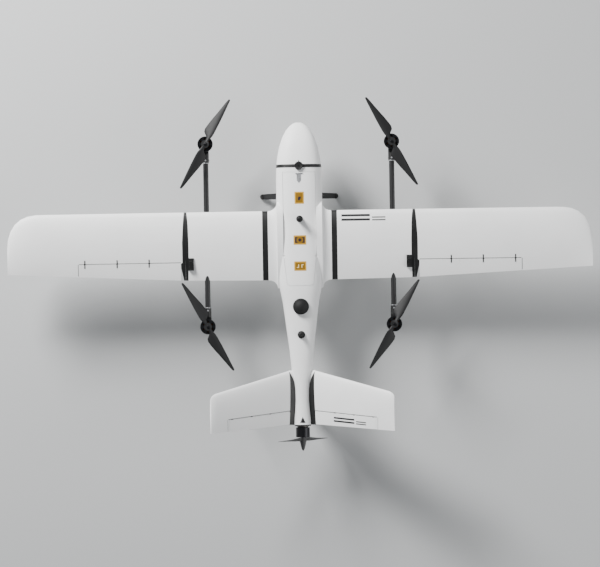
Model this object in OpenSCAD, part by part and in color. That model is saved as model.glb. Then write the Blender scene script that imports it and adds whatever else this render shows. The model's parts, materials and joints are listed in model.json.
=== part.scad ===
// Fixed wing drone with four lift rotors on two booms, a pusher propeller and a V tail.
// Millimetres. +Z is up, the nose points along -Y and the left wing along +X.
// The origin is on the ground, under the middle of the outline.

/* [Wing] */
// Wing span from tip to tip, measured along the panels
wing_span = 2180; // [1800:10:2600]
// Chord of the inner wing
wing_chord = 258; // [215:1:310]
// Chord at the tip
tip_chord = 221; // [185:1:260]
// Thickness of the wing section as a share of its chord
wing_thickness = 0.12; // [0.11:0.005:0.15]
// Height of the camber line as a share of the chord
wing_camber = 0.025; // [0:0.005:0.04]
// Angle of the wing to the fuselage, leading edge up
wing_incidence = 3; // [0:0.5:5]
// Upward slope of the outer panels
wing_dihedral = 3; // [0:0.5:8]
// Distance of the wing root joint from the centreline
root_x = 129; // [118:1:160]
// Distance of the outer joint from the centreline
joint_x = 427; // [410:1:520]
// Width of each black joint rib
rib_width = 10.5; // [6:0.5:14]
// Length of the rounded part of the tip
tip_round = 137; // [80:1:160]
// Thickness of the blunt trailing edge
trailing_edge = 2; // [1.6:0.1:3]

/* [Fuselage] */
// Full width of the fuselage
body_width = 171; // [150:1:190]
// Full height of the fuselage
body_height = 124; // [112:1:145]
// Thickness of the foam skin
body_wall = 8; // [6:0.5:9]
// Nose tip to the joint of the nose cover
nose_joint = 164; // [140:1:190]
// Width of the black ring at the nose joint
nose_ring_width = 12; // [8:1:16]
// Nose tip to the wing's leading edge
wing_station = 331; // [325:1:350]
// Nose tip to the rear face that carries the pusher motor
body_length = 1129; // [1110:1:1220]

/* [Lift rotors] */
// Distance of each boom from the centreline
boom_x = 347; // [335:1:380]
// Outer radius of a boom tube
boom_radius = 10; // [8:0.5:11]
// Wall of a boom tube
boom_wall = 1.5; // [1:0.25:3]
// Nose tip to the front rotor axis
front_rotor_station = 78; // [60:1:110]
// Nose tip to the rear rotor axis
rear_rotor_station = 758; // [745:1:800]
// Radius of a lift propeller
lift_prop_radius = 190.5; // [165:0.5:200]
// Radius of a lift motor's bell
motor_radius = 28.5; // [24:0.5:30]
// Height of a lift motor's bell
motor_height = 22; // [18:1:30]
// Angle between each lift propeller and the fuselage axis
prop_rest_angle = 30; // [0:1:60]

/* [Tail] */
// Slope of the tail panels above the horizontal
tail_slope = 35; // [30:1:40]
// Chord of a tail panel at its root
tail_root_chord = 200; // [170:1:235]
// Chord of a tail panel at its tip
tail_tip_chord = 141; // [125:1:170]
// Span of a tail panel along its own slope
tail_panel_span = 352; // [310:1:430]
// Sweep of the tail's leading edge over its span
tail_sweep = 81; // [50:1:100]
// Distance of the tail panels' root from the centreline
tail_root_x = 50; // [46:1:60]
// Nose tip to the leading edge of the tail root
tail_station = 928; // [915:1:940]

/* [Pusher] */
// Radius of the pusher propeller
pusher_radius = 165; // [140:1:168]
// Radius of the pusher motor's bell
pusher_motor_radius = 26; // [22:0.5:27]
// Length of the spinner
spinner_length = 34; // [24:1:45]
// Radius of the spinner
spinner_radius = 11.5; // [11:0.5:15]

/* [Control surfaces] */
// Chord of an aileron at its inner end
aileron_chord = 67; // [55:1:75]
// Distance of an aileron's outer end from the centreline
aileron_end_x = 826; // [720:1:860]
// Chord of a ruddervator at its inner end
ruddervator_chord = 50; // [44:1:56]
// Length of a ruddervator along the tail panel
ruddervator_length = 273; // [240:1:290]
// Gap at a hinge line and at the ends of a control surface
surface_gap = 0.8; // [0.6:0.1:1.2]

/* [Undercarriage] */
// Gap between the pusher propeller and the ground
prop_ground_gap = 25; // [20:1:60]
// Half distance between the front feet
gear_half_track = 140; // [110:1:170]
// Width of the front gear strip
gear_width = 26; // [20:1:32]
// Thickness of the front gear strip
gear_thickness = 4; // [3:0.5:5]
// Nose tip to the front gear
gear_station = 273; // [255:1:290]

/* [Hatch] */
// Nose tip to the front edge of the hatch
hatch_front = 187; // [184:1:200]
// Nose tip to the rear edge of the hatch
hatch_rear = 611; // [595:1:620]
// Half width of the hatch
hatch_half_width = 61; // [52:1:64]

/* [Hidden] */

// Colours
foam = "white";
black = [0.1, 0.1, 0.11];
carbon = [0.16, 0.16, 0.17];
metal = [0.72, 0.73, 0.75];
dark_metal = [0.25, 0.25, 0.27];

// Clearances
fit = 0.1;           // a piece that is glued or screwed into its seat
running = 0.05;      // a shaft in its bearing
part_gap = 0.6;      // two pieces that move apart
over = 1;            // how far a cutter runs past the face it cuts

// Ground, thrust line and outline
axis_z = pusher_radius + prop_ground_gap;
pusher_mount_t = 5;
pusher_motor_l = 42;
prop_plane = body_length + pusher_mount_t + pusher_motor_l + 10;
hub_half = 8;
spinner_tip = prop_plane + hub_half + spinner_length;
blade_tip_radius = 5;
front_reach = front_rotor_station - (lift_prop_radius - blade_tip_radius) * cos(prop_rest_angle)
    - blade_tip_radius;
origin_station = (front_reach + spinner_tip) / 2;

// Y of a distance behind the nose tip
function Y(s) = s - origin_station;

// ---------- Sections and lofts ----------

section_steps = 13;

// Half thickness of a wing section at share u of the chord
function half_thickness(u, t) =
    5 * t * (0.2969 * sqrt(u) - 0.1260 * u - 0.3516 * pow(u, 2) + 0.2843 * pow(u, 3) - 0.1036 * pow(u, 4));
function camber_z(u, m) = 4 * m * u * (1 - u);
function upper_z(u, c, t, m) = c * (camber_z(u, m) + half_thickness(u, t)) + trailing_edge / 2 * u;
function lower_z(u, c, t, m) = c * (camber_z(u, m) - half_thickness(u, t)) - trailing_edge / 2 * u;

// [y, z] points of a section: trailing edge, over the top, round the nose and back along the bottom
function section(c, t, m) = concat(
    [for (i = [section_steps:-1:0]) let (u = (1 - cos(180 * i / section_steps)) / 2)
        [u * c, upper_z(u, c, t, m)]],
    [for (i = [1:section_steps]) let (u = (1 - cos(180 * i / section_steps)) / 2)
        [u * c, lower_z(u, c, t, m)]]
);

// A solid through rings of points; every ring has the same number of points
module loft(rings) {
    n = len(rings[0]);
    k = len(rings);
    sides = [for (r = [0:k - 2], i = [0:n - 1]) let (j = (i + 1) % n, a = r * n, b = (r + 1) * n)
        each [[a + i, b + i, a + j], [a + j, b + i, b + j]]];
    polyhedron(
        points = [for (ring = rings) each ring],
        faces = concat([[for (i = [0:n - 1]) i]], sides, [[for (i = [n - 1:-1:0]) (k - 1) * n + i]]),
        convexity = 6
    );
}

// A ring of a wing panel: span position x, leading edge y, chord c and height z
function panel_ring(x, y, c, z, t, m) = [for (p = section(c, t, m)) [x, y + p[0], z + p[1]]];

// ---------- Fuselage shape ----------

half_w = body_width / 2;
half_h = body_height / 2;
nose_curve = 220;
ring_front = nose_joint - nose_ring_width / 2;
ring_rear = nose_joint + nose_ring_width / 2;
waist_w = 26.5;
tail_end_r = 31;

nose_droop = 14;

// Rows are station, half width, height above and depth below the section's middle, squareness and,
// in the nose, the drop of the middle below the axis
function nose_share(s) = sqrt(1 - pow(1 - min(s, nose_curve) / nose_curve, 2.3));
nose_rows = [for (s = [1.5, 6, 14, 30, 55, 90, 130, ring_front, ring_rear]) let (q = nose_share(s))
    [s, half_w * q, half_h * q, half_h * q, 2.1 + 0.45 * q, nose_droop * pow(1 - q, 1.3)]];
body_rows = [
    [nose_curve, half_w, half_h, half_h, 2.6, 0],
    [330, half_w, half_h, half_h, 2.7, 0],
    [500, half_w - 2, half_h, half_h, 2.7, 0],
    [597, half_w - 5.5, half_h - 2, half_h - 3, 2.6, 0],
    [627, half_w - 9, half_h - 4, half_h - 6, 2.5, 0],
    [666, half_w - 17, half_h - 8, half_h - 10, 2.4, 0],
    [702, half_w - 22, half_h - 12, half_h - 14, 2.3, 0],
    [776, half_w - 31, half_h - 19, half_h - 20, 2.3, 0],
    [851, 45, half_h - 25, half_h - 26, 2.2, 0],
    [tail_station - 5, 38.5, 35, 34, 2.2, 0],
    [tail_station + 30, 32, 33, 31, 2.1, 0],
    [tail_station + 72, 28, 31, 29, 2.1, 0],
    [tail_station + 112, waist_w, 30, 28, 2.1, 0],
    [tail_station + 150, 28.5, 30, 29, 2.1, 0],
    [body_length - 22, tail_end_r, tail_end_r - 1, tail_end_r - 1, 2, 0],
    [body_length, tail_end_r, tail_end_r, tail_end_r, 2, 0]
];
all_rows = concat(nose_rows, body_rows);
ring_points = 36;

function power(v, e) = sign(v) * pow(abs(v), e);
function body_ring(row, inset) = [for (i = [0:ring_points - 1])
    let (a = -360 * i / ring_points, w = row[1] - inset, h = (sin(a) > 0 ? row[2] : row[3]) - inset)
    [w * power(cos(a), 2 / row[4]), Y(row[0]), axis_z - row[5] + h * power(sin(a), 2 / row[4])]];

function row_at(s) = concat([s], [for (k = [1:5]) lookup(s, [for (row = all_rows) [row[0], row[k]]])]);

// The fuselage's outer shape, taken in by inset, between two stations
module body_loft(inset, s0, s1) {
    rows = concat([row_at(s0)], [for (row = all_rows) if (row[0] > s0 + 1 && row[0] < s1 - 1) row], [row_at(s1)]);
    loft([for (row = rows) body_ring(row, inset)]);
}

// Height of the fuselage's top on the centreline
function top_z(s) = axis_z + lookup(s, [for (row = all_rows) [row[0], row[2] - row[5]]]);
function bottom_z(s) = axis_z - lookup(s, [for (row = all_rows) [row[0], row[3] + row[5]]]);

cavity_rear = 900;
nose_cavity_front = 20;
spigot_inset = body_wall + 0.3;
spigot_wall = 3;
spigot_reach = 26;

// ---------- Wing placement ----------

wing_z = axis_z + 25;

// Puts its children in the wing's own frame: +X spanwise, +Y along the chord, Z up
module wing_frame() translate([0, Y(wing_station), wing_z]) rotate([-wing_incidence, 0, 0]) children();

// The frame of an outer panel, whose X runs out from the joint
module outer_frame() wing_frame() translate([joint_x, 0, 0]) rotate([0, -wing_dihedral, 0]) children();

// Makes its children for the left (1) or the right side (-1)
module on_side(side) {
    if (side > 0) children();
    else mirror([1, 0, 0]) children();
}

outer_length = wing_span / 2 - joint_x;
joint_chord = wing_chord - 3.5;

function outer_chord(x) = joint_chord + (tip_chord - joint_chord) * x / outer_length;

// Inner wing from x0 to x1
module inner_panel(x0, x1) {
    function chord_at(x) = wing_chord + (joint_chord - wing_chord) * (x - root_x) / (joint_x - root_x);
    loft([for (x = [x0, x1]) panel_ring(x, 0, chord_at(x), 0, wing_thickness, wing_camber)]);
}

// Outer wing in its own frame, with a rounded tip
tip_steps = 7;
tip_depth = 125;
tip_power = 3;       // a higher power makes the tip's corner squarer
module outer_panel(x0) {
    straight = outer_length - tip_round;
    stations = concat([x0, (x0 + straight) / 2, straight],
        [for (i = [1:tip_steps]) straight + tip_round * sin(90 * i / tip_steps)]);
    loft([for (x = stations)
        let (r = max(0, (x - straight) / tip_round), c = outer_chord(x),
             le = tip_depth * (1 - sqrt(max(0, 1 - pow(r, tip_power)))),
             thin = wing_thickness * (1 - 0.55 * pow(r, 3)))
        panel_ring(x, le, c - le, 0.02 * le, thin * (c - le * 0.4) / c, wing_camber)]);
}

// The stub moulded to the fuselage, with its fillets
stub_fillet = 34;
stub_swell = 0.02;   // added share of thickness per mm of fillet
module wing_stub() {
    x_wall = half_w - 2;
    x_out = root_x - rib_width;
    xs = [x_wall - 22, x_wall, x_wall + 3, x_wall + 8, x_wall + 15, x_wall + 24, x_out];
    loft([for (x = xs)
        let (r = min(stub_fillet, x_out - x_wall), g = max(0, x_wall + r - max(x, x_wall)),
             f = r - sqrt(max(0, r * r - g * g)), c = wing_chord + 1.9 * f)
        panel_ring(x, -f, c, 0, wing_thickness * (1 + stub_swell * f), wing_camber)]);
}

// ---------- Spars and joint ribs ----------

spar_radius = 10;
spar_wall = 1.25;
spar_share = 0.3;
spar_y = spar_share * wing_chord;
spar_z = wing_chord * camber_z(spar_share, wing_camber) * 0.9;
spar_half = boom_x - boom_radius - 8;
joiner_radius = 7;
joiner_in = 60;
joiner_out = 120;
rear_pin_radius = 3;
rear_pin_share = 0.62;

module spar_cut(x0, x1, r) {
    translate([x0, spar_y, spar_z]) rotate([0, 90, 0]) cylinder(h = x1 - x0, r = r, $fn = 48);
}

module tube_x(x0, x1, r, wall) {
    difference() {
        spar_cut(x0, x1, r);
        spar_cut(x0 - over, x1 + over, r - wall);
    }
}

tail_spar_radius = 4;
tail_spar_out = 150;
tail_spar_y = 70;
module tail_spar_cut(x0, x1, r) {
    translate([x0, tail_spar_y, 0]) rotate([0, 90, 0]) cylinder(h = x1 - x0, r = r, $fn = 32);
}

module carbon_spars() {
    color(carbon) {
        wing_frame() tube_x(-spar_half, spar_half, spar_radius, spar_wall);
        for (side = [1, -1]) on_side(side) tail_frame() tail_spar_cut(-16, tail_spar_out, tail_spar_radius);
    }
}

module root_ribs() {
    color(black) for (side = [1, -1]) on_side(side) wing_frame() difference() {
        inner_panel(root_x - rib_width, root_x + rib_width);
        spar_cut(root_x - rib_width - over, root_x + rib_width + over, spar_radius + fit);
    }
}

// Latch housing on the inner side of the outer joint
latch_w = 20;
latch_l = 46;
latch_y = 170;
latch_h = 7;
button_w = 12;
button_l = 20;
button_travel = 3;

function wing_top(y) = upper_z(y / wing_chord, wing_chord, wing_thickness, wing_camber);

module latch_block() {
    translate([joint_x - rib_width - latch_w, latch_y, wing_top(latch_y + latch_l / 2) - 9])
        cube([latch_w, latch_l, latch_h + 9]);
}

module latch_button_place() {
    translate([joint_x - rib_width - latch_w / 2, latch_y + latch_l / 2,
               wing_top(latch_y + latch_l / 2) + latch_h])
        children();
}

button_depth = 7;

// The caps on both sides of the outer joint are pointed at the leading edge and, on the outer side,
// widen behind the aileron's hinge line. Rows are distance from the leading edge and width.
cap_reach = 17.5;
cap_tail = 48;       // length of the narrowing behind the aileron's cap
inner_cap = [[0, 5.5], [18, 8], [50, rib_width], [110, rib_width + 1.5], [170, rib_width + 1.5],
             [wing_chord, rib_width - 1]];
outer_cap = [[0, 4], [18, 6], [50, rib_width - 2], [110, rib_width + 1.5],
             [joint_chord - aileron_chord, rib_width + 1.5], [joint_chord - aileron_chord + 4, cap_reach],
             [joint_chord - cap_tail, cap_reach], [joint_chord, rib_width - 4]];

// Plan of both caps, from the inner edge to the outer one
module cap_prism(inner) {
    rows = inner ? inner_cap : outer_cap;
    back = wing_chord + 20;
    edge = concat([[rows[0][1], -20]], [for (row = rows) [row[1], row[0]]], [[rows[len(rows) - 1][1], back]]);
    translate([joint_x, 0, -60]) mirror([inner ? 1 : 0, 0, 0]) linear_extrude(height = 120)
        polygon(concat(edge, [[-cap_reach, back], [-cap_reach, -20]]));
}

module joint_ribs() {
    color(black) for (side = [1, -1]) on_side(side) wing_frame() difference() {
        union() {
            intersection() {
                inner_panel(joint_x - cap_reach, joint_x);
                cap_prism(true);
            }
            difference() {
                latch_block();
                inner_panel(joint_x - rib_width - latch_w - over, joint_x - rib_width - over);
            }
        }
        spar_cut(joint_x - rib_width - over, joint_x + over, joiner_radius + 2 * fit);
        latch_button_place() translate([-button_w / 2 - 0.3, -button_l / 2 - 0.3, -button_depth])
            cube([button_w + 0.6, button_l + 0.6, button_depth + over]);
    }
}

module wing_latch() {
    color(dark_metal) wing_frame() latch_button_place()
        translate([0, 0, button_travel - button_depth + 0.6]) difference() {
            translate([-button_w / 2, -button_l / 2, 0]) cube([button_w, button_l, button_depth - 1.2]);
            for (dy = [-6:3:6]) translate([-button_w / 2 - over, dy - 0.6, button_depth - 2])
                cube([button_w + 2 * over, 1.2, over + 1]);
        }
}

// Black rib on the outer panel, with the tube that plugs into the inner panel
module outer_rib() {
    color(black) wing_frame() difference() {
        union() {
            intersection() {
                inner_panel(joint_x + part_gap, joint_x + cap_reach + over);
                cap_prism(false);
            }
            spar_cut(joint_x - joiner_in, joint_x + joiner_out, joiner_radius);
        }
        spar_cut(joint_x - joiner_in - over, joint_x + joiner_out + over, joiner_radius - 1.5);
    }
}

// ---------- Inner wing panels ----------

// Distance from a rotor's axis to the end of its boom
boom_end = 20;
module boom_line(r) {
    translate([boom_x, Y(front_rotor_station) + boom_end, boom_z]) rotate([-90, 0, 0])
        cylinder(h = rear_rotor_station - front_rotor_station - 2 * boom_end, r = r, $fn = 48);
}

// The boom's top comes out of the wing's upper surface just ahead of the trailing edge
boom_exit_share = 0.93;
boom_exit_z = wing_z - boom_exit_share * wing_chord * sin(wing_incidence)
    + upper_z(boom_exit_share, wing_chord, wing_thickness, wing_camber);
boom_z = boom_exit_z - boom_radius;

module mid_wing() {
    color(foam) difference() {
        wing_frame() difference() {
            inner_panel(root_x + rib_width, joint_x);
            cap_prism(true);
            spar_cut(root_x, spar_half + 1, spar_radius + fit);
            spar_cut(joint_x - joiner_in - 3, joint_x, joiner_radius + 2 * fit);
            translate([0, 0, -fit]) latch_block();
        }
        boom_line(boom_radius + fit);
    }
}

saddle_half_w = 17;
saddle_front = 32;
saddle_length = 165;
module boom_saddles() {
    color(black) for (side = [1, -1]) on_side(side) difference() {
        translate([boom_x, Y(wing_station) + saddle_front, boom_z - 3]) rotate([-90, 0, 0])
            difference() {
                cylinder(h = saddle_length, r = saddle_half_w, $fn = 48);
                translate([-saddle_half_w - over, -2 * saddle_half_w - 12, -over])
                    cube([2 * saddle_half_w + 2 * over, 2 * saddle_half_w, saddle_length + 2 * over]);
            }
        wing_frame() translate([0, 0, -fit]) inner_panel(root_x + rib_width, joint_x - rib_width);
        boom_line(boom_radius + fit);
    }
}

module booms() {
    color(carbon) for (side = [1, -1]) on_side(side) difference() {
        boom_line(boom_radius);
        translate([0, -over, 0]) boom_line(boom_radius - boom_wall);
        translate([0, over, 0]) boom_line(boom_radius - boom_wall);
        for (c = [corners[0], corners[2]]) at_corner(c, boom_z) translate([0, c[2] * (mount_sleeve + 10), 0])
            clamp_screws(fit);
    }
}

// ---------- Lift motors ----------

mount_sleeve = 50;
mount_plate_r = 23;
mount_plate_t = 5;
sleeve_wall = 2.5;
motor_base_z = boom_z + boom_radius + sleeve_wall + mount_plate_t;
shaft_r = 3;
stator_h = 14;

// Rotor places: [side, station, direction of the sleeve towards the wing]
corners = [[1, front_rotor_station, 1], [-1, front_rotor_station, 1],
           [1, rear_rotor_station, -1], [-1, rear_rotor_station, -1]];

module at_corner(c, z = 0) translate([c[0] * boom_x, Y(c[1]), z]) children();

// A motor mount: a sleeve along +Y that closes on the boom's end, and a round seat for the motor
module motor_mount() {
    sleeve_r = boom_radius + sleeve_wall;
    sleeve_l = mount_sleeve + 20;
    difference() {
        union() {
            translate([0, -2, 0]) rotate([-90, 0, 0]) cylinder(h = sleeve_l + 2, r = sleeve_r, $fn = 48);
            cylinder(h = sleeve_r + mount_plate_t, r = mount_plate_r, $fn = 64);
            translate([-sleeve_r, 0, 0]) cube([2 * sleeve_r, mount_sleeve * 0.7, sleeve_r + mount_plate_t]);
        }
        translate([0, boom_end - fit, 0]) rotate([-90, 0, 0])
            cylinder(h = sleeve_l, r = boom_radius + fit, $fn = 48);
        translate([0, mount_sleeve + 10, 0]) clamp_screws(fit);
    }
}

module motor_mounts() {
    color(black) for (c = corners) at_corner(c, boom_z)
        if (c[2] > 0) motor_mount();
        else mirror([0, 1, 0]) motor_mount();
}

// The fixed half of a motor: base, bearing tube and a ring of wound teeth
module stator(radius, base_t, height) {
    difference() {
        union() {
            cylinder(h = base_t, r = radius - 4, $fn = 72);
            cylinder(h = height, r = 6, $fn = 32);
            translate([0, 0, base_t + 3]) cylinder(h = height - base_t - 5, r = radius - 4.5, $fn = 72);
            for (a = [0:40:320]) rotate([0, 0, a]) translate([5, -1.5, base_t - over])
                cube([radius - 12, 3, 4 + over]);
        }
        translate([0, 0, -over]) cylinder(h = height + 2 * over, r = shaft_r + running, $fn = 32);
    }
}

module motor_stators() {
    color(metal) {
        for (c = corners) at_corner(c, motor_base_z) stator(motor_radius, 3, stator_h + 3);
        along_y(pusher_base) stator(pusher_motor_radius, 4, 32);
    }
}

// Silver screws that clamp each mount to its boom, one on top and one on each side
module mount_screws() {
    color(metal) for (c = corners) at_corner(c, boom_z) {
        translate([0, c[2] * (mount_sleeve + 10), 0]) clamp_screws(0);
    }
    color(metal) gear_screws(0);
}

screw_head_r = 3.2;
screw_r = 1.5;
screw_l = 5.5;

// A screw grown by g, standing on Z = 0 with its shank below
module screw(g) {
    cylinder(h = 2.6 + (g > 0 ? over : 0), r = screw_head_r + g, $fn = 32);
    translate([0, 0, -screw_l - g]) cylinder(h = screw_l + g + 0.1, r = screw_r + g, $fn = 24);
}

// The three screws of one mount, around the boom's axis
module clamp_screws(g) {
    for (a = [-90, 0, 90]) rotate([0, a, 0]) translate([0, 0, boom_radius + sleeve_wall - 1]) screw(g);
}

module gear_screws(g) {
    for (x = [-24, 24]) translate([x, Y(gear_station), gear_seat_z - gear_thickness]) mirror([0, 0, 1]) screw(g);
}

bell_floor = 3;
bell_z = 4;          // height of the bell's rim above the motor's seat
shaft_lift = 0.5;    // gap between a shaft's lower end and the seat
shaft_top = 13;      // how far a shaft stands above its bell

// A rotor bell, open at the bottom, with windows in its top and the shaft
module rotor_bell() {
    difference() {
        union() {
            cylinder(h = motor_height, r = motor_radius, $fn = 96);
            translate([0, 0, motor_height]) cylinder(h = 2.5, r = 9, $fn = 48);
        }
        translate([0, 0, -over]) cylinder(h = motor_height - bell_floor + over, r = motor_radius - 2.5, $fn = 96);
        for (a = [0:60:300]) rotate([0, 0, a + 30]) translate([18.5, 0, motor_height - bell_floor - over])
            cylinder(h = bell_floor + 2 * over, r = 5, $fn = 32);
    }
    translate([0, 0, shaft_lift - bell_z])
        cylinder(h = motor_height + bell_z + shaft_top - shaft_lift, r = shaft_r, $fn = 32);
}

module bell_at(c) color(dark_metal) at_corner(c, motor_base_z + bell_z) rotor_bell();

// ---------- Propellers ----------

// Chord, forward edge and pitch angle of a lift blade by share of its radius
blade_chord = [[0.07, 13], [0.13, 16], [0.2, 38], [0.26, 42], [0.34, 39.5], [0.47, 34], [0.6, 27], [0.75, 19.5],
               [0.9, 12.5], [0.97, 8.5]];
blade_edge = [[0.07, 6.5], [0.13, 8], [0.2, 11], [0.26, 11.5], [0.34, 11], [0.47, 10], [0.6, 8.5], [0.75, 6.5],
              [0.9, 4.5], [0.97, 3.5]];
blade_pitch = [[0.07, 20], [0.2, 22], [0.34, 19], [0.6, 13], [0.97, 8]];

// Blade section: [across, up] points, flat below and crowned above
function blade_section(c, lead, t) = [
    [lead, 0], [lead - 0.08 * c, t * 0.55], [lead - 0.25 * c, t * 0.95], [lead - 0.45 * c, t],
    [lead - 0.7 * c, t * 0.72], [lead - 0.92 * c, t * 0.3], [lead - c, 0.1],
    [lead - 0.92 * c, -t * 0.18], [lead - 0.5 * c, -t * 0.15], [lead - 0.1 * c, -t * 0.25]];

// A blade along +X whose leading edge faces +Y; radius r, chord scaled by k, pitch by q
module blade(r, k, q) {
    stations = [0.07, 0.13, 0.17, 0.2, 0.26, 0.34, 0.47, 0.6, 0.75, 0.9, 0.97, 0.992];
    loft([for (u = stations)
        let (cap = u > 0.97 ? 0.62 : 1, c = k * cap * lookup(u, blade_chord), lead = k * cap * lookup(u, blade_edge),
             t = 0.9 + 3.6 * (1 - u), a = -q * lookup(u, blade_pitch))
        [for (p = blade_section(c, lead, t))
            [u * r, p[0] * cos(a) + p[1] * sin(a), -p[0] * sin(a) + p[1] * cos(a)]]]);
}

hub_h = 7;
hub_share = 0.078;    // radius of a hub as a share of its propeller's radius
module lift_propeller() {
    difference() {
        union() {
            translate([0, 0, -hub_h / 2]) cylinder(h = hub_h, r = hub_share * lift_prop_radius, $fn = 64);
            for (a = [0, 180]) rotate([0, 0, a]) blade(lift_prop_radius, 1, 1);
        }
        translate([0, 0, -20]) cylinder(h = 40, r = shaft_r + fit, $fn = 32);
    }
}

prop_z = motor_base_z + bell_z + motor_height + 2.5 + hub_h / 2;

// Front left and rear right turn clockwise seen from above, the other two turn the other way
module propeller_at(c) {
    clockwise = c[0] * c[2] > 0;
    rest = 90 - c[2] * c[0] * prop_rest_angle;
    color(carbon) at_corner(c, prop_z) rotate([0, 0, rest])
        if (clockwise) mirror([0, 1, 0]) lift_propeller();
        else lift_propeller();
}

// ---------- Pusher ----------

module along_y(s) translate([0, Y(s), axis_z]) rotate([-90, 0, 0]) children();

pusher_base = body_length + pusher_mount_t;

module pusher_mount() {
    color(black) along_y(body_length) difference() {
        cylinder(h = pusher_mount_t, r = tail_end_r - 0.5, $fn = 72);
        translate([0, 0, -over]) cylinder(h = pusher_mount_t + 2 * over, r = 6, $fn = 32);
    }
}

module pusher_bell() {
    color(dark_metal) along_y(pusher_base + 6) {
        difference() {
            cylinder(h = pusher_motor_l - 6, r = pusher_motor_radius, $fn = 96);
            translate([0, 0, -over]) cylinder(h = pusher_motor_l - 9 + over, r = pusher_motor_radius - 2.5, $fn = 96);
            for (a = [0:45:315]) rotate([0, 0, a]) translate([17, 0, pusher_motor_l - 10])
                cylinder(h = 6, r = 4, $fn = 32);
        }
        translate([0, 0, -4]) cylinder(h = pusher_motor_l + 18, r = shaft_r, $fn = 32);
    }
}

// The left blade of the pusher propeller stands up at rest
pusher_rest = 124;
module pusher_propeller() {
    color(carbon) along_y(prop_plane) difference() {
        union() {
            translate([0, 0, -hub_half]) cylinder(h = 2 * hub_half - 0.1, r = hub_share * pusher_radius, $fn = 64);
            for (a = [0, 180]) rotate([0, 0, a + pusher_rest]) blade(pusher_radius, 0.8, 1.35);
        }
        translate([0, 0, -hub_half - over]) cylinder(h = 2 * hub_half + 2, r = shaft_r + fit, $fn = 32);
    }
    color(black) along_y(prop_plane + hub_half) difference() {
        rotate_extrude($fn = 72) polygon(concat([[0, 0]],
            [for (i = [0:10]) let (u = i / 10)
                [spinner_radius * sqrt(max(0, 1 - u * u)) * (1 - 0.35 * u), spinner_length * u]]));
        translate([0, 0, -over]) cylinder(h = 10, r = shaft_r + fit, $fn = 32);
    }
}

// ---------- Tail ----------

tail_thickness = 0.1;
tail_z = axis_z + 17;
tail_round = 26;
tail_tip_cut = 16;   // how far the tip's leading corner is taken back

module tail_frame() translate([tail_root_x, Y(tail_station), tail_z]) rotate([0, -tail_slope, 0]) children();

function tail_chord(x) = tail_root_chord + (tail_tip_chord - tail_root_chord) * x / tail_panel_span;

module tail_panel(x0) {
    steps = 5;
    straight = tail_panel_span - tail_round;
    loft([for (x = concat([x0, straight], [for (i = [1:steps]) straight + tail_round * sin(90 * i / steps)]))
        let (r = max(0, (x - straight) / tail_round), le = tail_sweep * x / tail_panel_span,
             cut = tail_tip_cut * (1 - sqrt(max(0, 1 - r * r))), c = tail_chord(x))
        panel_ring(x, le + cut, c - cut, 0, tail_thickness * (1 - 0.5 * r * r), 0)]);
}

// The root of a tail panel is white foam at its leading edge and a black fairing behind a curve
fairing_grow = 1.5;
fairing_in = 30;
fairing_sweep = 60;

module tail_root() {
    tail_frame() difference() {
        loft([for (x = [-fairing_in, -part_gap / 2])
            panel_ring(x, -fairing_grow, tail_root_chord + 2 * fairing_grow, 0, tail_thickness * 1.15, 0)]);
        tail_spar_cut(-40, over, tail_spar_radius + fit);
    }
}

// Plan of the part of the root that is black
module fairing_prism() {
    wide = tail_root_x - waist_w;
    translate([0, 0, axis_z - body_height]) linear_extrude(height = 2 * body_height) polygon(concat(
        [for (i = [0:8]) let (q = i / 8)
            [waist_w + wide * pow(1 - q, 2), Y(tail_station + q * fairing_sweep)]],
        [[0, Y(tail_station + fairing_sweep)], [0, Y(body_length) + 40], [tail_root_x + 40, Y(body_length) + 40],
         [tail_root_x + 40, Y(tail_station)]]));
}

module tail_fairings() {
    color(black) for (side = [1, -1]) on_side(side) difference() {
        intersection() {
            tail_root();
            fairing_prism();
        }
        body_loft(-fit, tail_station - 60, body_length);
        along_y(body_length - over) cylinder(h = 2 * pusher_mount_t, r = tail_end_r, $fn = 72);
    }
}

// ---------- Control surfaces and their linkages ----------

hinge_depth = 3;
bevel = 28;
knuckle_r = 1.5;
horn_t = 2;
horn_drop = 9;
arm_t = 2;
pin_r = 1;
rod_r = 1;

// Aileron hinge: ends of its axis in the outer panel's frame
aileron_x0 = cap_reach + surface_gap;
aileron_x1 = (aileron_end_x - joint_x);
aileron_y = joint_chord - aileron_chord;
function outer_top(x, y) = upper_z(y / outer_chord(x), outer_chord(x), wing_thickness, wing_camber);
function outer_bottom(x, y) = lower_z(y / outer_chord(x), outer_chord(x), wing_thickness, wing_camber);
aileron_z0 = outer_top(aileron_x0, aileron_y) - hinge_depth;
aileron_z1 = outer_top(aileron_x1, aileron_y) - hinge_depth;

// Ruddervator hinge, in the tail panel's frame
rudder_x0 = surface_gap;
rudder_x1 = ruddervator_length;
rudder_sweep = 22.3;  // how far aft the hinge line runs over the ruddervator's length
rudder_y0 = tail_root_chord - ruddervator_chord;
rudder_y1 = rudder_y0 + rudder_sweep;
function tail_top(x, y) = let (le = tail_sweep * x / tail_panel_span)
    upper_z((y - le) / tail_chord(x), tail_chord(x), tail_thickness, 0);
rudder_z0 = tail_top(rudder_x0, rudder_y0) - hinge_depth;
rudder_z1 = tail_top(rudder_x1, rudder_y1) - hinge_depth;

// Moves its children so that +X runs along a hinge axis from a to b
module hinge_frame(a, b) {
    d = b - a;
    translate(a) rotate([0, 0, atan2(d[1], d[0])])
        rotate([0, -atan2(d[2], norm([d[0], d[1]])), 0]) children();
}

aileron_a = [aileron_x0, aileron_y, aileron_z0];
aileron_b = [aileron_x1, aileron_y, aileron_z1];
rudder_a = [rudder_x0, rudder_y0, rudder_z0];
rudder_b = [rudder_x1, rudder_y1, rudder_z1];

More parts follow.
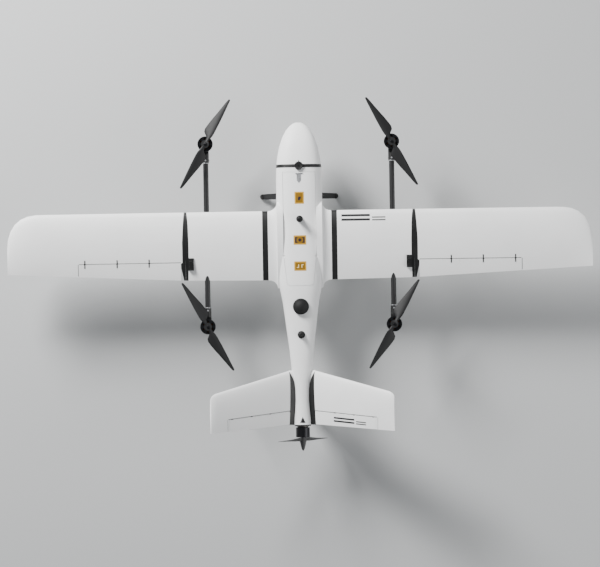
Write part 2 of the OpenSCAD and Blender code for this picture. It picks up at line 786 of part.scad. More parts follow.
// The wedge of space behind a hinge that a surface takes, along +X from x0 to x1
module surface_space(x0, x1, front) {
    reach = 110;
    height = 40;
    translate([x0, 0, 0]) rotate([90, 0, 90]) linear_extrude(height = x1 - x0) polygon([
        [front, 0], [front + height * tan(bevel), height], [reach, height],
        [reach, -height], [front + height * tan(bevel), -height]]);
}

// The squarer space that the fixed part gives up
module surface_pocket(x0, x1, front) {
    translate([x0, -front, -40]) cube([x1 - x0, 120, 80]);
}

module knuckles(length, r, w) {
    for (u = [0.06, 0.37, 0.68]) translate([length * (1 - u) - w / 2, 0, 0]) rotate([0, 90, 0])
        cylinder(h = w, r = r, $fn = 24);
}

// Linkage: the arm's axis is level with the hinge axis, and the arm is as long as the horn
servo_size = [25, 23, 8];
module linkage_place(a, b, along) hinge_frame(a, b) translate([along, 0, 0]) children();

aileron_link = 150;
aileron_rod_l = 92;
aileron_drop = aileron_z0 - outer_bottom(aileron_link, aileron_y) + horn_drop;
tail_link = 95;
tail_rod_l = 72;
tail_drop = 2 * tail_top(tail_link, rudder_y0) - hinge_depth + horn_drop - 3;

// A round eye about the pin, joined to a straight web that goes up to height h
module eye_plate(h, w, t, r, bore) {
    difference() {
        union() {
            rotate([0, 90, 0]) cylinder(h = t, r = r, center = true, $fn = 32);
            translate([-t / 2, -w / 2, 0]) cube([t, w, h]);
        }
        rotate([0, 90, 0]) cylinder(h = t + 2 * over, r = bore, center = true, $fn = 24);
    }
}

rod_side = arm_t / 2 + rod_r + 0.4;

module servo_arm(drop) {
    translate([0, 0, -drop]) eye_plate(drop, 5, arm_t, 2.6, pin_r + running);
    rotate([0, 90, 0]) cylinder(h = arm_t, r = 4, center = true, $fn = 32);
}

// A rod with a bent pin at both ends, its front pin at the origin and its length along +Y
module push_rod(length) {
    bend = 0.6;
    for (y = [0, length]) translate([-arm_t / 2 - bend, y, 0]) rotate([0, 90, 0])
        cylinder(h = arm_t + 2 * bend + rod_r + 0.4, r = pin_r, $fn = 24);
    translate([rod_side + bend, -rod_r, 0]) rotate([-90, 0, 0]) cylinder(h = length + 2 * rod_r, r = rod_r, $fn = 24);
}

// A servo whose output shaft is on X at the origin and whose case lies towards -X
module servo(fit_gap = 0) {
    translate([-servo_size[0] - arm_t / 2 - 1.6 - fit_gap, -6 - fit_gap, -servo_size[2] / 2 - fit_gap])
        cube([servo_size[0] + 2 * fit_gap, servo_size[1] + 2 * fit_gap, servo_size[2] + 2 * fit_gap]);
}

module servo_shaft(h, r) translate([-arm_t / 2 - h, 0, 0]) rotate([0, 90, 0]) cylinder(h = h, r = r, $fn = 24);

// Slot in the skin that the arm swings in, open below
module arm_slot(drop) translate([-arm_t / 2 - 1, -drop * 0.62 - 4, -drop - 6])
    cube([arm_t + 6, drop * 1.24 + 8, drop + 12]);

module aileron_hinge() outer_frame() hinge_frame(aileron_a, aileron_b) children();
module rudder_hinge() tail_frame() hinge_frame(rudder_a, rudder_b) children();
aileron_length = norm(aileron_b - aileron_a);
rudder_length = norm(rudder_b - rudder_a);

module aileron_arm_place() aileron_hinge() translate([aileron_link, -aileron_rod_l, 0]) children();
module tail_arm_place() rudder_hinge() translate([tail_link, -tail_rod_l, 0]) children();

module aileron() {
    color(foam) difference() {
        union() {
            intersection() {
                outer_frame() outer_panel(rib_width);
                aileron_hinge() surface_space(0, aileron_length - surface_gap, surface_gap / 2);
            }
            aileron_hinge() knuckles(aileron_length, knuckle_r, 7);
        }
        aileron_hinge() translate([aileron_link - horn_t / 2 - fit, 0, -aileron_drop - 3])
            cube([horn_t + 2 * fit, 19, aileron_drop + 5]);
    }
    color(black) aileron_hinge() translate([aileron_link, 0, 0]) surface_horn(aileron_drop);
}

module ruddervator() {
    color(foam) difference() {
        union() {
            intersection() {
                tail_frame() tail_panel(0);
                rudder_hinge() surface_space(0, rudder_length - surface_gap, surface_gap / 2);
            }
            rudder_hinge() knuckles(rudder_length, knuckle_r, 7);
        }
        rudder_hinge() translate([tail_link - horn_t / 2 - fit, 0, -tail_drop - 3])
            cube([horn_t + 2 * fit, 19, tail_drop + 4]);
    }
    color(black) rudder_hinge() translate([tail_link, 0, 0]) surface_horn(tail_drop);
}

// A horn let into the surface from below; its eye is straight under the hinge axis
module surface_horn(drop) {
    translate([-horn_t / 2, 0, 0]) difference() {
        rotate([90, 0, 90]) linear_extrude(height = horn_t)
            polygon([[8, 0.5], [8, -drop * 0.5], [-2.6, -drop], [2.6, -drop], [16, -drop * 0.5], [18.5, 0.5]]);
        translate([-over, 0, -drop]) rotate([0, 90, 0]) cylinder(h = horn_t + 2 * over, r = pin_r + 0.15, $fn = 24);
    }
    translate([-horn_t / 2, 0, -drop]) rotate([0, 90, 0]) difference() {
        cylinder(h = horn_t, r = 2.6, $fn = 32);
        translate([0, 0, -over]) cylinder(h = horn_t + 2 * over, r = pin_r + 0.15, $fn = 24);
    }
}

module outer_wing() {
    color(foam) difference() {
        outer_frame() outer_panel(0);
        wing_frame() spar_cut(joint_x, joint_x + joiner_out + 2, joiner_radius + fit);
        wing_frame() cap_prism(false);
        aileron_hinge() surface_pocket(-20, aileron_length, surface_gap / 2);
        aileron_hinge() knuckles(aileron_length, knuckle_r + 0.4, 7.8);
        aileron_arm_place() servo(fit);
        aileron_arm_place() servo_shaft(2.5, 3);
        aileron_arm_place() arm_slot(aileron_drop);
    }
}

module v_tail() {
    color(foam) difference() {
        tail_frame() tail_panel(part_gap / 2);
        tail_frame() tail_spar_cut(-over, tail_spar_out + over, tail_spar_radius + fit);
        rudder_hinge() surface_pocket(-20, rudder_length, surface_gap / 2);
        rudder_hinge() knuckles(rudder_length, knuckle_r + 0.4, 7.8);
        tail_arm_place() servo(fit);
        tail_arm_place() servo_shaft(2.5, 3);
        tail_arm_place() arm_slot(tail_drop);
    }
}

module servo_solid() {
    servo();
    servo_shaft(1.7, 2.4);
}

module aileron_servo() color(black) aileron_arm_place() servo_solid();
module tail_servos() color(black) for (side = [1, -1]) on_side(side) tail_arm_place() servo_solid();
module aileron_arm() color(foam) aileron_arm_place() servo_arm(aileron_drop);
module tail_arm() color(foam) tail_arm_place() servo_arm(tail_drop);
module aileron_rod() color(metal) aileron_arm_place() translate([0, 0, -aileron_drop]) push_rod(aileron_rod_l);
module tail_rod() color(metal) tail_arm_place() translate([0, 0, -tail_drop]) push_rod(tail_rod_l);

// ---------- Fuselage pieces ----------

hatch_taper = 111;
hatch_rear_half = hatch_half_width - 10;
hatch_corner = 15;
hatch_ledge = 6;
hatch_floor = axis_z + 25;
hatch_gap = 1;

// Plan of the hatch, grown by g
module hatch_plan(g) {
    r = hatch_corner + g;
    w = hatch_half_width + g;
    v = hatch_rear_half + g;
    back = Y(hatch_rear) + g;
    polygon(concat(
        [[-w, Y(hatch_front) - g], [w, Y(hatch_front) - g], [w, Y(hatch_rear - hatch_taper)]],
        [for (a = [0:15:90]) [v - r + r * cos(a), back - r + r * sin(a)]],
        [for (a = [90:15:180]) [r - v + r * cos(a), back - r + r * sin(a)]],
        [[-w, Y(hatch_rear - hatch_taper)]]));
}

module hatch_prism(g) translate([0, 0, hatch_floor]) linear_extrude(height = body_height) hatch_plan(g);

notch_r = 5;
notch_share = 0.76;   // height of a notch's floor as a share of the fuselage's half height
module hatch_notches() {
    for (side = [1, -1])
        translate([side * hatch_half_width, Y(hatch_rear - hatch_taper), axis_z + half_h * notch_share])
            cylinder(h = 30, r = notch_r, $fn = 32);
}

puck_station = 688;
puck_r = 30;
puck_h = 13;
rear_antenna_station = 793;
rear_antenna_r = 14;
front_antenna_station = 362;
front_antenna_r = 12.5;
seat_sink = 4;

puck_z = top_z(puck_station) - seat_sink;
rear_antenna_z = top_z(rear_antenna_station) - 5;
front_antenna_z = top_z(front_antenna_station) - 3;

module roof_seats() {
    translate([0, Y(puck_station), puck_z]) cylinder(h = 40, r = puck_r + fit, $fn = 72);
    translate([0, Y(rear_antenna_station), rear_antenna_z]) cylinder(h = 40, r = rear_antenna_r + fit, $fn = 48);
}

module front_antenna_seat() {
    translate([0, Y(front_antenna_station), front_antenna_z]) cylinder(h = 40, r = front_antenna_r + fit, $fn = 48);
}

skid_station = tail_station + 45;
skid_root = 90;
skid_t = 10;
skid_sink = 14;

module skid_blade(g) {
    root_z = bottom_z(skid_station) + skid_sink;
    translate([-skid_t / 2 - g, 0, 0]) rotate([90, 0, 90]) linear_extrude(height = skid_t + 2 * g)
        polygon([[Y(skid_station) - g, root_z + g], [Y(skid_station + skid_root) + g, root_z + g],
                 [Y(skid_station + skid_root) + g, root_z - 34], [Y(skid_station + skid_root - 6), foot_t + 8],
                 [Y(skid_station + skid_root - 10), foot_t], [Y(skid_station + 42), foot_t],
                 [Y(skid_station + 34), foot_t + 10], [Y(skid_station) - g, root_z - 30]]);
}

foot_t = 7;

// Seat of the front gear: a flat under the belly that a plate is screwed to
gear_seat_half = 38;
gear_seat_z = bottom_z(gear_station) + 1.5;

module gear_seat() {
    translate([-gear_seat_half - 12, Y(gear_station) - gear_width / 2 - fit, gear_seat_z - 30])
        cube([2 * gear_seat_half + 24, gear_width + 2 * fit, 30]);
}

module shell_raw() {
    difference() {
        union() {
            body_loft(0, ring_rear, body_length);
            for (side = [1, -1]) on_side(side) {
                wing_frame() wing_stub();
                difference() {
                    tail_root();
                    fairing_prism();
                }
            }
        }
        body_loft(body_wall, ring_rear - over, cavity_rear);
    }
}

module fuselage_shell() {
    color(foam) difference() {
        shell_raw();
        hatch_prism(-hatch_ledge);
        difference() {
            hatch_prism(0);
            body_loft(body_wall / 2, hatch_front - 20, hatch_rear + 20);
        }
        hatch_notches();
        wing_frame() spar_cut(-root_x, root_x, spar_radius + fit);
        roof_seats();
        skid_blade(fit);
        gear_seat();
        gear_screws(fit);
        for (side = [1, -1]) on_side(side) tail_frame() tail_spar_cut(-17, over, tail_spar_radius + fit);
    }
}

module top_hatch() {
    color(foam) difference() {
        intersection() {
            shell_raw();
            union() {
                hatch_prism(-hatch_ledge - hatch_gap);
                difference() {
                    hatch_prism(-hatch_gap);
                    body_loft(body_wall / 2 - 0.3, hatch_front - 20, hatch_rear + 20);
                }
            }
        }
        hatch_notches();
        translate([0, Y(keeper_front), top_z(keeper_front) - keeper_sink - fit]) linear_extrude(height = 10)
            keeper_plan(fit);
        front_antenna_seat();
    }
}

latch_r = 15;
latch_pin_r = 4;
latch_seat_z = top_z(nose_joint) - 3;

module nose_ring() {
    color(black) difference() {
        union() {
            body_loft(-0.8, ring_front + part_gap, ring_rear);
            body_loft(spigot_inset, ring_front - spigot_reach, ring_rear + spigot_reach);
            latch_boss();
        }
        body_loft(spigot_inset + spigot_wall, ring_front - spigot_reach - over, ring_rear + spigot_reach + over);
        translate([0, Y(nose_joint), latch_seat_z - 20]) cylinder(h = 60, r = latch_pin_r + running, $fn = 32);
    }
}

module latch_boss() translate([0, Y(nose_joint), latch_seat_z - 8]) cylinder(h = 8, r = nose_ring_width / 2 - 0.1, $fn = 48);

keeper_t = 1.6;
keeper_sink = 0.8;
keeper_front = hatch_front + 4;

// Stainless strip let into the front of the hatch, with a bar across and a pointed end
module hatch_keeper() {
    color(metal) translate([0, Y(keeper_front), top_z(keeper_front) - keeper_sink]) linear_extrude(height = keeper_t)
        keeper_plan(0);
}

module keeper_plan(g) {
    polygon([[-14 - g, -g], [14 + g, -g], [14 + g, 3 + g], [8 + g, 3 + g], [8 + g, 28], [0, 38 + g],
             [-8 - g, 28], [-8 - g, 3 + g], [-14 - g, 3 + g]]);
}

// Turning knob that locks the nose cover: a lobed disc with a pointer, on a pin
module nose_latch() {
    color(black) translate([0, Y(nose_joint), latch_seat_z + 4.5]) {
        difference() {
            union() {
                cylinder(h = 7, r = latch_r, $fn = 64);
                translate([-2.5, -latch_r - 6, 0]) cube([5, 8, 5]);
            }
            for (a = [0:45:315]) rotate([0, 0, a + 22.5]) translate([latch_r + 2.2, 0, -over])
                cylinder(h = 10, r = 4, $fn = 24);
        }
        translate([0, 0, -14]) cylinder(h = 14.1, r = latch_pin_r, $fn = 32);
    }
}

module nose_cover() {
    color(foam) difference() {
        body_loft(0, 1, ring_front);
        body_loft(body_wall, nose_cavity_front, ring_front + over);
    }
}

// ---------- Equipment ----------

tray_z = axis_z - half_h + body_wall + 14;
tray_t = 3;
tray_half_w = 50;
tray_front = 190;
tray_rear = 620;
battery_size = [78, 160, 52];
autopilot_size = [46, 72, 20];
autopilot_station = 440;

module equipment_tray() {
    color(carbon) {
        translate([-tray_half_w, Y(tray_front), tray_z]) difference() {
            cube([2 * tray_half_w, tray_rear - tray_front, tray_t]);
            for (s = [28:60:380]) translate([tray_half_w - 22, s, -over]) cube([44, 9, tray_t + 2 * over]);
        }
        for (s = [tray_front + 20, tray_rear - 60]) translate([-tray_foot_half, Y(s), tray_foot_z(s)])
            cube([2 * tray_foot_half, 12, tray_z + tray_t / 2 - tray_foot_z(s)]);
    }
}
tray_foot_half = 34;
tray_foot_gap = 4;   // keeps a foot's corners off the curve of the floor
function tray_foot_z(s) = bottom_z(s) + body_wall + tray_foot_gap;

module battery_pack() {
    color([0.16, 0.2, 0.35]) translate([-battery_size[0] / 2, Y(tray_front + 14), tray_z + tray_t]) cube(battery_size);
}

module autopilot() {
    color(black) translate([-autopilot_size[0] / 2, Y(autopilot_station), tray_z + tray_t]) difference() {
        cube(autopilot_size);
        for (x = [6:7:40]) translate([x, -over, autopilot_size[2] - 7]) cube([4, 5, 4]);
    }
}

module gps_puck() {
    color(black) translate([0, Y(puck_station), puck_z]) rotate_extrude($fn = 72)
        polygon([[0, 0], [puck_r, 0], [puck_r, puck_h], [puck_r - 2, puck_h + 2.4], [puck_r - 5, puck_h + 3],
                 [0, puck_h + 3.6]]);
}

module rear_antenna() {
    color(black) translate([0, Y(rear_antenna_station), rear_antenna_z]) rotate_extrude($fn = 64)
        polygon([[0, 0], [rear_antenna_r, 0], [rear_antenna_r, 8], [rear_antenna_r - 3, 11], [8, 12.5], [8, 33],
                 [6.8, 35], [0, 36]]);
}

module front_antenna() {
    color(black) translate([0, Y(front_antenna_station), front_antenna_z]) rotate_extrude($fn = 64)
        polygon([[0, 0], [front_antenna_r, 0], [front_antenna_r, 6], [front_antenna_r - 1.2, 7.5],
                 [front_antenna_r - 1.2, 46], [front_antenna_r - 3, 49], [0, 50]]);
}

// ---------- Undercarriage ----------

foot_r = 8;
leg_dx = gear_half_track - gear_seat_half;
leg_dz = gear_seat_z - foot_r - gear_thickness / 2;
leg_length = norm([leg_dx, leg_dz]);
leg_angle = atan2(leg_dz, leg_dx);

// Bent strip seen from the front, grown by g on all its faces
module gear_profile(g) {
    t = gear_thickness + 2 * g;
    z = gear_seat_z + g;
    x = gear_seat_half + g * tan(leg_angle / 2);
    reach = leg_length + g;
    tip = [x + reach * cos(leg_angle), z - reach * sin(leg_angle)];
    low = tip - t * [sin(leg_angle), cos(leg_angle)];
    inner = x - t * tan(leg_angle / 2);
    polygon([[-x, z], [x, z], tip, low, [inner, z - t], [-inner, z - t], [-low[0], low[1]], [-tip[0], tip[1]]]);
}

module gear_strip(g) {
    translate([0, Y(gear_station) + gear_width / 2 + g, 0]) rotate([90, 0, 0])
        linear_extrude(height = gear_width + 2 * g) gear_profile(g);
}

// Plan of the strip: its legs narrow towards the feet
gear_tip_w = 19;
module gear_plan() {
    w = gear_width / 2;
    v = gear_tip_w / 2;
    x = gear_seat_half;
    far = gear_half_track + foot_r;
    translate([0, Y(gear_station), 0]) linear_extrude(height = axis_z)
        polygon([[-x, -w], [x, -w], [far, -v], [far, v], [x, w], [-x, w], [-far, v], [-far, -v]]);
}

module gear_bow() {
    color(carbon) difference() {
        intersection() {
            gear_strip(0);
            gear_plan();
        }
        gear_screws(fit);
    }
}

foot_back = 2.5;
foot_lip = 0.7;
module gear_feet() {
    color([0.06, 0.06, 0.06]) {
        for (side = [1, -1]) on_side(side) difference() {
            intersection() {
                translate([gear_half_track, Y(gear_station) - gear_width / 2, foot_r]) rotate([-90, 0, 0])
                    cylinder(h = gear_width, r = foot_r, $fn = 48);
                translate([gear_half_track - foot_back, Y(gear_station), -over])
                    cylinder(h = 2 * foot_r + 2 * over, r = gear_tip_w / 2 + foot_lip, $fn = 64);
            }
            gear_strip(fit);
        }
        translate([-skid_t / 2 - 1, Y(skid_station + 40), 0]) cube([skid_t + 2, skid_root - 50, foot_t]);
    }
}

module tail_skid() color(black) skid_blade(0);

// ---------- Nodes ----------

fuselage_shell();
nose_ring();
equipment_tray();
battery_pack();
autopilot();
gps_puck();
front_antenna();
rear_antenna();
carbon_spars();
root_ribs();
on_side(1) mid_wing();  // mid_wing_left
on_side(-1) mid_wing();  // mid_wing_right
joint_ribs();
booms();
boom_saddles();
motor_mounts();
motor_stators();
mount_screws();
pusher_mount();
gear_bow();
gear_feet();
tail_skid();
tail_fairings();
on_side(1) v_tail();  // v_tail_left
on_side(-1) v_tail();  // v_tail_right
tail_servos();
nose_cover();
nose_latch();
top_hatch();
hatch_keeper();
on_side(1) outer_wing();  // outer_wing_left
on_side(-1) outer_wing();  // outer_wing_right
on_side(1) outer_rib();  // outer_rib_left
on_side(-1) outer_rib();  // outer_rib_right
on_side(1) aileron_servo();  // aileron_servo_left
on_side(-1) aileron_servo();  // aileron_servo_right
on_side(1) wing_latch();  // wing_latch_left
on_side(-1) wing_latch();  // wing_latch_right
on_side(1) aileron();  // aileron_left
on_side(-1) aileron();  // aileron_right
on_side(1) ruddervator();  // ruddervator_left
on_side(-1) ruddervator();  // ruddervator_right
on_side(1) aileron_arm();  // aileron_arm_left
on_side(-1) aileron_arm();  // aileron_arm_right
on_side(1) tail_arm();  // tail_arm_left
on_side(-1) tail_arm();  // tail_arm_right
on_side(1) aileron_rod();  // aileron_rod_left
on_side(-1) aileron_rod();  // aileron_rod_right
on_side(1) tail_rod();  // tail_rod_left
on_side(-1) tail_rod();  // tail_rod_right
bell_at(corners[0]);  // rotor_bell_front_left
bell_at(corners[1]);  // rotor_bell_front_right
bell_at(corners[2]);  // rotor_bell_rear_left
bell_at(corners[3]);  // rotor_bell_rear_right
propeller_at(corners[0]);  // propeller_front_left
propeller_at(corners[1]);  // propeller_front_right
propeller_at(corners[2]);  // propeller_rear_left
propeller_at(corners[3]);  // propeller_rear_right
pusher_bell();
pusher_propeller();
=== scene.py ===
"""Builds the visible model of a fixed wing drone with lift rotors, and its studio."""

import json
import math

import bmesh
import bpy
from bpy.props import FloatProperty, FloatVectorProperty, IntProperty, PointerProperty
from mathutils import Matrix, Vector

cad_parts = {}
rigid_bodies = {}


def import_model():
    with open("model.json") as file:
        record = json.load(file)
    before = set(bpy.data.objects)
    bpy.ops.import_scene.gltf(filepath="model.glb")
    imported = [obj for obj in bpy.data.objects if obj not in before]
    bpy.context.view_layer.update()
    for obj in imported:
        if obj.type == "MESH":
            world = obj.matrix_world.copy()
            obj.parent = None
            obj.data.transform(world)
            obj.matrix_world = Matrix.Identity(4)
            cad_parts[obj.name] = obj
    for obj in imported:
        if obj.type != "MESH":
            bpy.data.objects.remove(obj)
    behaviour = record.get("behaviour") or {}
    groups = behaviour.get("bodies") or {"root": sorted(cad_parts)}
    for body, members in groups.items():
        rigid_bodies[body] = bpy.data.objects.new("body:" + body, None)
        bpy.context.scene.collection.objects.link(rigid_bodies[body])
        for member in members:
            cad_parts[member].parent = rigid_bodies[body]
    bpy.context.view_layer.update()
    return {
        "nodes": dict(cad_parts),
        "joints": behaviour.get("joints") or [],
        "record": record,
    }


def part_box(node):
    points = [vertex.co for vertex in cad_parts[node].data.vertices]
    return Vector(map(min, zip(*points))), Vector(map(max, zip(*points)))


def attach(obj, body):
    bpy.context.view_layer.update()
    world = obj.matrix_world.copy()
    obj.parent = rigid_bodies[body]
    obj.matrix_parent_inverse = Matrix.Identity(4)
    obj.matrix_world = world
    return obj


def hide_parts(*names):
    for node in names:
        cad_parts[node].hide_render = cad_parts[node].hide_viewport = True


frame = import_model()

bl_info = {
    "name": "Fixed Wing Drone",
    "version": (1, 0, 0),
    "blender": (4, 5, 0),
    "location": "3D View > Sidebar > Drone",
    "description": "Finishes a foam drone with lift rotors, a pusher propeller and a V tail",
    "category": "Object",
}

MM = 0.001
SIDES = {"left": 1, "right": -1}
CORNERS = ("front_left", "front_right", "rear_left", "rear_right")

# The nose cover's first section stands 1.5 mm behind the point of the nose
NOSE_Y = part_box("nose_cover")[0][1] - 1.5 * MM


def station(distance):
    """Y of a distance in millimetres behind the nose."""
    return NOSE_Y + distance * MM


def hex_colour(code):
    """An sRGB hex colour as the linear red, green and blue that Blender's nodes take."""
    parts = [int(code[i : i + 2], 16) / 255 for i in (1, 3, 5)]
    return tuple(c / 12.92 if c <= 0.04045 else ((c + 0.055) / 1.055) ** 2.4 for c in parts)


# ---------- Settings ----------


def colour(name, code, about):
    """A colour setting whose default is an sRGB hex value."""
    return FloatVectorProperty(
        name=name, description=about, subtype="COLOR", size=3, min=0, max=1, default=hex_colour(code)
    )


def length(name, millimetres, about):
    """A length setting whose default is given in millimetres."""
    return FloatProperty(name=name, description=about, unit="LENGTH", min=0, default=millimetres * MM)


class DroneColours(bpy.types.PropertyGroup):
    """Colours of the drone's finishes."""

    foam: colour("Foam", "#FAFAF9", "Colour of the moulded foam")
    nylon: colour("Nylon", "#0E0E0E", "Colour of the black moulded ribs and covers")
    blade: colour("Blade", "#121213", "Colour of the propeller blades")
    bell: colour("Motor", "#2A2A2C", "Colour of the anodised motor bells")
    pusher_blade: colour("Pusher blade", "#4C4C4C", "Colour of the pusher propeller")
    plate: colour("Plate", "#C89A34", "Colour of the service plates")
    plate_centre: colour("Plate centre", "#835E04", "Darker middle of the service plates")
    ink: colour("Ink", "#14182E", "Colour of printed marks")
    floor: colour("Floor", "#BEBFBF", "Colour of the studio floor")


class DroneSizes(bpy.types.PropertyGroup):
    """Sizes of the pieces that are added to the CAD model."""

    plate_thickness: length("Plate thickness", 0.5, "Thickness of a printed plate")
    hinge_length: length("Hinge length", 30, "Length of a nylon hinge along the chord")
    hinge_width: length("Hinge width", 4, "Width of a nylon hinge's leaves")
    hinge_barrel: length("Hinge barrel", 8, "Length of a hinge's barrel")
    # painted shade: width of the dark strips that stand in for the shade in a control surface's gaps
    gap_shade_width: length("Gap shade width", 1.5, "Width of the dark strips painted as shade in a control surface's gaps")
    knob_ribs: IntProperty(name="Knob ribs", description="Grip ribs around the latch knob", default=16, min=8)
    coils: IntProperty(name="Coils", description="Copper coils in a lift motor", default=12, min=6)
    camera_height: length("Camera height", 14000, "Height of the camera above the wing")
    view_width: length("View width", 2239.8, "Width that the picture covers at the wing")
    view_roll: FloatProperty(
        name="View roll", description="Turn of the picture", subtype="ANGLE", default=math.radians(0.93)
    )


def sizes():
    """The stated sizes, as the panel holds them."""
    return bpy.context.scene.drone_sizes


def colours():
    """The stated colours, as the panel holds them."""
    return bpy.context.scene.drone_colours


# ---------- Materials ----------

# One wave of the wave texture at scale 1, along its axis
WAVE_LENGTH = 0.314


def add_node(tree, kind, inputs=None, links=None, **settings):
    """Adds a node, sets its settings and sockets, and links sockets to (node, output) pairs."""
    node = tree.nodes.new(kind)
    for key, value in settings.items():
        setattr(node, key, value)
    for key, value in (inputs or {}).items():
        node.inputs[key].default_value = value
    for key, (source, output) in (links or {}).items():
        tree.links.new(source.outputs[output], node.inputs[key])
    return node


def new_material(name, roughness, metallic=0.0, **sockets):
    """A material with constant shader settings; returns it with its tree, shader and coordinates."""
    material = bpy.data.materials.new(name)
    material.use_nodes = True
    tree = material.node_tree
    shader = tree.nodes["Principled BSDF"]
    shader.inputs["Roughness"].default_value = roughness
    shader.inputs["Metallic"].default_value = metallic
    for key, value in sockets.items():
        shader.inputs[key.replace("_", " ")].default_value = value
    place = add_node(tree, "ShaderNodeTexCoord")
    return material, tree, shader, place


def blend_colours(tree, shader, factor, low, high):
    """Base colour that runs between two colours with a factor."""
    ramp = add_node(tree, "ShaderNodeValToRGB", links={"Fac": factor})
    ramp.color_ramp.elements[0].color = (*low, 1)
    ramp.color_ramp.elements[1].color = (*high, 1)
    tree.links.new(ramp.outputs["Color"], shader.inputs["Base Color"])
    return ramp


def raise_surface(tree, shader, height, strength, depth):
    """Bump of a real depth in metres."""
    bump = add_node(
        tree, "ShaderNodeBump", inputs={"Strength": strength, "Distance": depth}, links={"Height": height}
    )
    tree.links.new(bump.outputs["Normal"], shader.inputs["Normal"])
    return bump


def vary_roughness(tree, shader, factor, low, high):
    """Roughness that runs between two values with a factor."""
    span = add_node(
        tree, "ShaderNodeMapRange", inputs={"To Min": low, "To Max": high}, links={"Value": factor}
    )
    tree.links.new(span.outputs["Result"], shader.inputs["Roughness"])


def shade(tint, amount):
    """A colour made lighter or darker."""
    return tuple(min(1.0, c * amount) for c in tint)


def expanded_foam():
    """Moulded expanded polyolefin: a satin skin in which the fused beads show as shallow cells."""
    material, tree, shader, place = new_material("expanded_foam", 0.52, IOR=1.48)
    # real beads are 3 mm; drawn 5 mm so that they show
    beads = add_node(
        tree, "ShaderNodeTexVoronoi", feature="DISTANCE_TO_EDGE",
        inputs={"Scale": 1 / (5 * MM)}, links={"Vector": (place, "Object")},
    )
    seams = add_node(
        tree, "ShaderNodeMapRange", inputs={"From Max": 0.12}, links={"Value": (beads, "Distance")}
    )
    # the mould leaves broad patches about 120 mm across that are a little duller
    patches = add_node(
        tree, "ShaderNodeTexNoise", inputs={"Scale": 1 / (120 * MM), "Detail": 3.0},
        links={"Vector": (place, "Object")},
    )
    tint = colours().foam
    blend_colours(tree, shader, (patches, "Fac"), shade(tint, 0.93), shade(tint, 1.02))
    vary_roughness(tree, shader, (patches, "Fac"), 0.44, 0.6)
    raise_surface(tree, shader, (seams, "Result"), 0.35, 0.12 * MM)
    return material


def glass_filled_nylon():
    """Moulded glass-filled nylon: near black, satin, with a fine even grain from the mould."""
    material, tree, shader, place = new_material("glass_filled_nylon", 0.46, IOR=1.53)
    grain = add_node(
        tree, "ShaderNodeTexNoise", inputs={"Scale": 1 / (1.2 * MM), "Detail": 2.0},
        links={"Vector": (place, "Object")},
    )
    wear = add_node(
        tree, "ShaderNodeTexNoise", inputs={"Scale": 1 / (35 * MM), "Detail": 5.0},
        links={"Vector": (place, "Object")},
    )
    tint = colours().nylon
    blend_colours(tree, shader, (wear, "Fac"), shade(tint, 0.75), shade(tint, 1.5))
    vary_roughness(tree, shader, (wear, "Fac"), 0.36, 0.58)
    raise_surface(tree, shader, (grain, "Fac"), 0.4, 0.08 * MM)
    return material


def twill_carbon():
    """Wrapped twill carbon fibre under a thin resin coat: crossing tows, drawn 4 mm wide."""
    material, tree, shader, place = new_material(
        "twill_carbon", 0.48, IOR=1.5, Coat_Weight=0.15, Coat_Roughness=0.25
    )
    # real tows are 2 mm wide, which is too fine to be seen at this size
    turn = add_node(
        tree, "ShaderNodeMapping", inputs={"Rotation": (0, 0, math.radians(45))},
        links={"Vector": (place, "Object")},
    )
    warp = add_node(
        tree, "ShaderNodeTexWave", bands_direction="X", inputs={"Scale": WAVE_LENGTH / (4 * MM)},
        links={"Vector": (turn, "Vector")},
    )
    weft = add_node(
        tree, "ShaderNodeTexWave", bands_direction="Y", inputs={"Scale": WAVE_LENGTH / (4 * MM)},
        links={"Vector": (turn, "Vector")},
    )
    over_under = add_node(
        tree, "ShaderNodeMath", operation="MAXIMUM", links={0: (warp, "Fac"), 1: (weft, "Fac")}
    )
    blend_colours(tree, shader, (over_under, "Value"), hex_colour("#060607"), hex_colour("#19191A"))
    raise_surface(tree, shader, (over_under, "Value"), 0.3, 0.1 * MM)
    return material


def moulded_blade(name="moulded_carbon", tint=None):
    """Compression moulded carbon composite: matte black with chopped strands that run along the blade."""
    material, tree, shader, place = new_material(name, 0.55, IOR=1.45)
    stretch = add_node(
        tree, "ShaderNodeMapping", inputs={"Scale": (1.0, 0.25, 1.0)}, links={"Vector": (place, "Object")}
    )
    strands = add_node(
        tree, "ShaderNodeTexNoise", inputs={"Scale": 1 / (2.5 * MM), "Detail": 4.0},
        links={"Vector": (stretch, "Vector")},
    )
    tint = tint or colours().blade
    blend_colours(tree, shader, (strands, "Fac"), shade(tint, 0.6), shade(tint, 1.7))
    vary_roughness(tree, shader, (strands, "Fac"), 0.48, 0.68)
    raise_surface(tree, shader, (strands, "Fac"), 0.25, 0.08 * MM)
    return material


def anodised_aluminium():
    """Turned and anodised aluminium: dark grey metal with fine rings from the lathe."""
    material, tree, shader, place = new_material("anodised_aluminium", 0.34, metallic=0.85)
    flatten = add_node(
        tree, "ShaderNodeMapping", inputs={"Scale": (0.02, 0.02, 1.0)}, links={"Vector": (place, "Object")}
    )
    # tool marks are 0.1 mm apart; drawn 0.8 mm
    rings = add_node(
        tree, "ShaderNodeTexNoise", inputs={"Scale": 1 / (0.8 * MM), "Detail": 1.0},
        links={"Vector": (flatten, "Vector")},
    )
    tint = colours().bell
    blend_colours(tree, shader, (rings, "Fac"), shade(tint, 0.8), shade(tint, 1.3))
    raise_surface(tree, shader, (rings, "Fac"), 0.15, 0.03 * MM)
    return material


